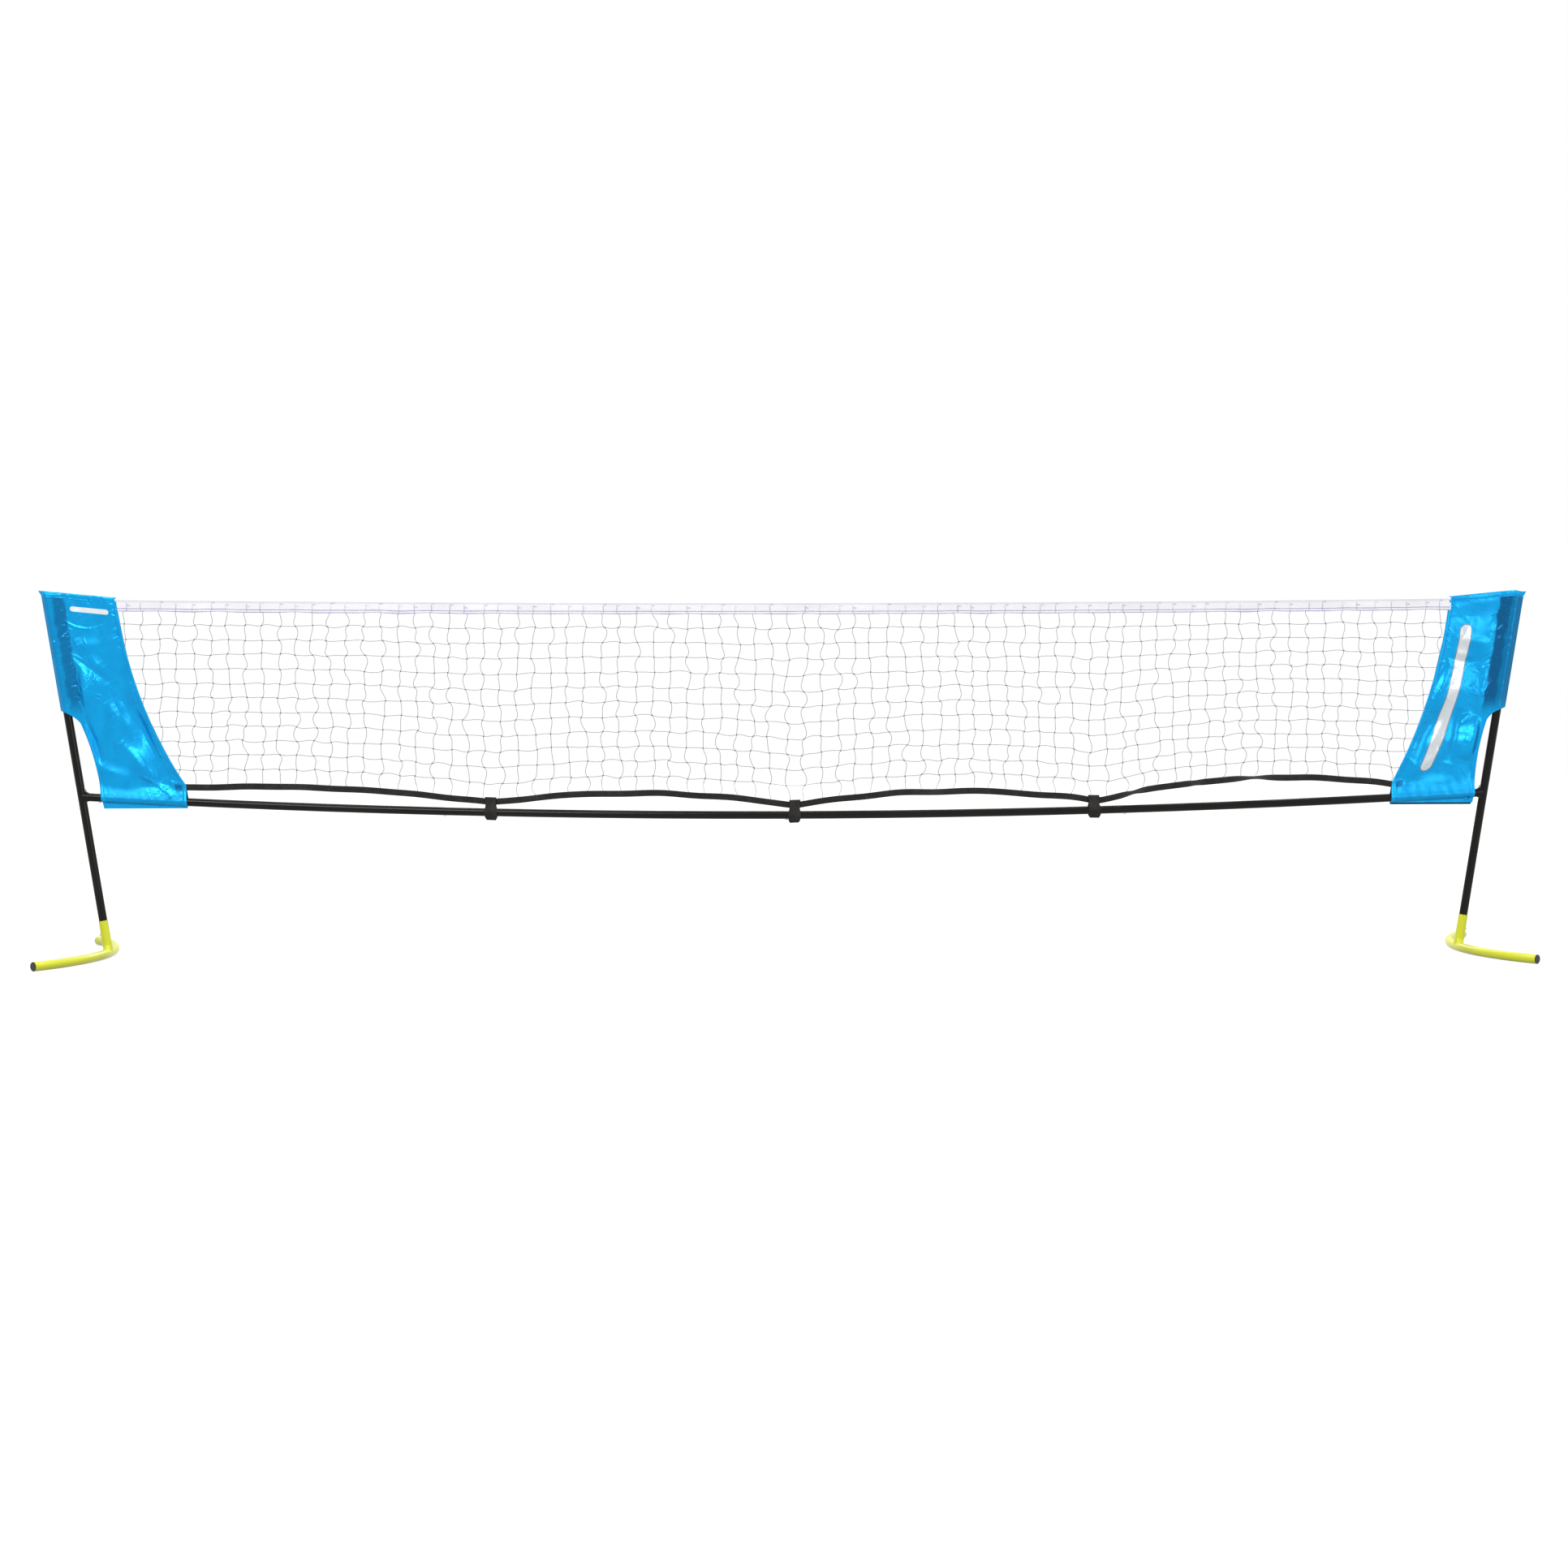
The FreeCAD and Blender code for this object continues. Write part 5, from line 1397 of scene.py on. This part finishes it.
# painted shade: a darker copy of the twine's colours stands for the shade inside each tight knot
shaded_knot_twine = finish("knotted twine", ((0.22, 0.22, 0.25, 1), (0.14, 0.14, 0.16, 1)), MOTTLE,
                    lambda material: noise(material, 1500.0), (0.0004, 0.6),
                    Roughness=0.8, Specular_IOR_Level=0.2)
dress(piece("net_knots", points, quads), shaded_knot_twine, "twine")
print("knots:", len(centres))


# %% [markdown]
# Webbing is a flat woven ribbon.  The foot webbing carries the net's lower edge.  It is a flat
# profile carried along its line, and it turns on edge where it has twisted between the straps.

# %% Foot webbing
WEB_HALF_THICK = 0.0008
WEB_STEPS, WEB_AROUND = 900, 20
# twists: where the middle is, how far it reaches and its angle
TWISTS = ((0.768, 0.022, 1.00), (0.905, 0.018, 0.72), (1.036, 0.040, 1.10), (-0.560, 0.030, 0.35),
          (0.330, 0.050, 0.30), (-1.080, 0.050, 0.30))


def ribbon_ring(count, half_width, half_thick):
    """Closed profile of a flat ribbon with rounded edges: (across, off) along a squared oval."""
    angle = np.arange(count) * 2 * math.pi / count
    across, off = np.cos(angle), np.sin(angle)
    return (half_width * np.sign(across) * np.abs(across) ** 0.55,
            half_thick * np.sign(off) * np.abs(off) ** 0.45)


web_x = np.linspace(web_ends[0] - WEB_TUCK, web_ends[1] + WEB_TUCK, WEB_STEPS)[:, None]
across, off = (a[None, :] for a in ribbon_ring(WEB_AROUND, WEB_HEIGHT / 2, WEB_HALF_THICK))
twist = 0.10 * ripples(web_x, 0 * web_x, 0.30, 95, spread=0.1)
for middle_x, reach, angle in TWISTS:
    twist = twist + angle * np.exp(-((web_x - middle_x) / reach) ** 2)
for strap_x in STRAP_X:
    twist = twist * smooth(np.abs(web_x - strap_x), 0.012, 0.05)
twist = twist * smooth(web_ends[1] - np.abs(web_x), 0.0, 0.06)
web_y = across * np.sin(twist) + off * np.cos(twist)
web_up = across * np.cos(twist) - off * np.sin(twist)
web_points = np.stack([web_x + 0 * across, web_y, web_z(web_x) + web_up], -1)
web_uv = np.stack([web_x + 0 * across, across + 0 * web_x], -1)
web_quads = grid_faces(WEB_STEPS, WEB_AROUND, wrap_columns=True)

webbing, webbing_shader = new_material("black webbing", Roughness=0.7, Specular_IOR_Level=0.2)
dust = ramp(webbing, noise(webbing, 60.0, 5.0), 0.45, 0.75)
link(webbing, blend_colours(webbing, dust, (0.014, 0.013, 0.012, 1), (0.030, 0.028, 0.026, 1)),
     webbing_shader.inputs["Base Color"])
link(webbing, bump(webbing, bands(webbing, 420.0, 1.5, "cloth"), 0.0003, 0.5),
     webbing_shader.inputs["Normal"])
foot_web = dress(piece("foot_webbing", web_points, web_quads, web_uv), webbing, "webbing", "foot_tape")


# %% [markdown]
# Each strap is a short band of webbing wrapped round the bar and the foot webbing.  It closes on
# itself under the bar, where its end hangs down a little.  From the front it has a slight waist, and
# its lower corners are cut off.

# %% Straps
STRAP_TOP, STRAP_FOOT = 0.0322, -0.0160
STRAP_AROUND, STRAP_ACROSS = 72, 13
STRAP_THICK, STRAP_WALL = 0.0014, 0.0013  # outer face to the inside, and the webbing itself
# width of a strap at heights over the bar's axis
STRAP_WIDTHS = ((-0.0160, 0.0212), (-0.0115, 0.0262), (-0.0060, 0.0274), (0.0060, 0.0272),
                (0.0125, 0.0232), (0.0190, 0.0228), (0.0240, 0.0240), (0.0322, 0.0246))


def strap_points(x, tilt, seed, thick):
    """Loop of a strap: round the bar like a drop drawn both ways, and round the webbing on top."""
    angle = np.linspace(0, 2 * math.pi, STRAP_AROUND + 1)[:-1, None]
    height = (STRAP_TOP + STRAP_FOOT) / 2 + (STRAP_TOP - STRAP_FOOT + 2 * thick) / 2 * np.sin(angle)
    snug, above = TUBE_R + 0.0006 + thick, height > 0
    half = np.where(above, teardrop(height, snug, 0.0345 + thick),
                    teardrop(-height, snug, 0.0175 + thick))
    half = soft_max(half, np.where(above, 0.0016 + thick, 0.0008 + thick), 0.0010)
    half = half * np.sqrt(np.clip(1 - np.abs(np.sin(angle)) ** 14, 0, 1))
    share = np.linspace(-0.5, 0.5, STRAP_ACROSS)[None, :]
    width = np.interp(height, *np.array(STRAP_WIDTHS).T)
    across = x + share * width + tilt * height
    wave = 0.0005 * ripples(across, height, 0.020, seed) * smooth(half, 0.0, 0.004)
    y = np.sign(np.cos(angle)) * (half + np.abs(wave))
    lift = bar_z(across) + height + 0.0012 * tilt * share * 20
    cloth = np.stack([share * width, angle * 0.014 + 0 * share], -1)
    return np.stack([across, y + 0 * across, lift], -1), cloth


straps = {}
for name, x, tilt in zip(("left", "middle", "right"), STRAP_X, (-0.02, 0.03, -0.04)):
    outer, cloth = strap_points(x, tilt, 7, STRAP_THICK)
    quads = grid_faces(STRAP_AROUND, STRAP_ACROSS, wrap_rows=True, flip=True)
    strap = piece("strap_webbing_" + name, outer, quads, cloth)
    wall = strap.modifiers.new("webbing", "SOLIDIFY")
    wall.thickness, wall.offset = STRAP_WALL, -1.0
    straps[name] = dress(strap, webbing, "webbing", "strap_" + name)


# %% [markdown]
# Under the bar each sleeve closes with a strip of hook tape between its two legs.  The strip is a thin
# band, and its hooks are short bent strands in even rows.

# %% Hook strips
HOOK_PITCH, HOOK_RISE, HOOK_R = 0.0022, 0.0011, 0.00018
STRIP_STEPS, STRIP_AROUND, STRIP_HALF_THICK = 160, 16, 0.0006
t = np.linspace(0, 1, 4)

for name, spec in SLEEVES.items():
    low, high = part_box("hook_strip_" + name)
    along = np.linspace(low.x + 0.0005, high.x - 0.0005, STRIP_STEPS)[:, None]
    ring_up, ring_off = (a[None, :] for a in ribbon_ring(STRIP_AROUND, (high.z - low.z) / 2,
                                                         STRIP_HALF_THICK))
    wave = 0.0003 * ripples(along, 0 * along, 0.04, spec["seed"], spread=0.1)
    strip = np.stack([along + 0 * ring_up, ring_off + wave,
                      (low.z + high.z) / 2 + ring_up + 0 * along], -1)
    strip_uv = np.stack([along + 0 * ring_up, ring_up + 0 * along], -1).reshape(-1, 2)
    hook_x, hook_z = np.meshgrid(np.arange(low.x + 0.002, high.x - 0.002, HOOK_PITCH),
                                 np.arange(low.z + 0.0012, low.z + 0.0045, 0.0016))
    root = np.stack([hook_x.ravel(), 0 * hook_x.ravel(), hook_z.ravel()], -1)
    hooks = []
    for away in (-1, 1):
        off = away * (0.0004 + HOOK_RISE * np.sin(2.2 * t))
        bend = np.stack([0.0006 * np.sin(2.6 * t), off, 0.0006 * t], -1)
        hooks.append(root[:, None] + bend[None])
    points, quads = joined([(strip, grid_faces(STRIP_STEPS, STRIP_AROUND, wrap_columns=True)),
                            strands(np.concatenate(hooks), HOOK_R, sides=3, across=(0.3, 0.2, 1.0))])
    extra = np.zeros((len(points) - len(strip_uv), 2))
    hook_strip = piece("hook_tape_" + name, points, quads, np.concatenate([strip_uv, extra]))
    sewn_on[name].append(dress(hook_strip, webbing, "webbing", "hook_strip_" + name))


# %% [markdown]
# Satin and webbing hardly stretch, so the cloth a piece was cut from has the area of its finished
# surface, and that area is printed here.  A sleeve is one piece folded over its post, so its cut is
# twice as wide as the sleeve.  The net is knotted twine, and isn't a sheet.

# %% What each piece of cloth was cut to
def surface(made):
    """Area of a piece's faces, before its modifiers."""
    return sum(face.area for face in made.data.polygons)


for made in list(sleeves.values()) + [head_tape, foot_web] + list(straps.values()):
    print("%s: %.4f square metres of surface" % (made.name, surface(made)))


# %% [markdown]
# Last, the size of the dressed object is printed.

# %% Size of the dressed object
low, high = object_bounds()
print("dressed: %.3f x %.3f x %.3f m" % tuple(b - a for a, b in zip(low, high)))
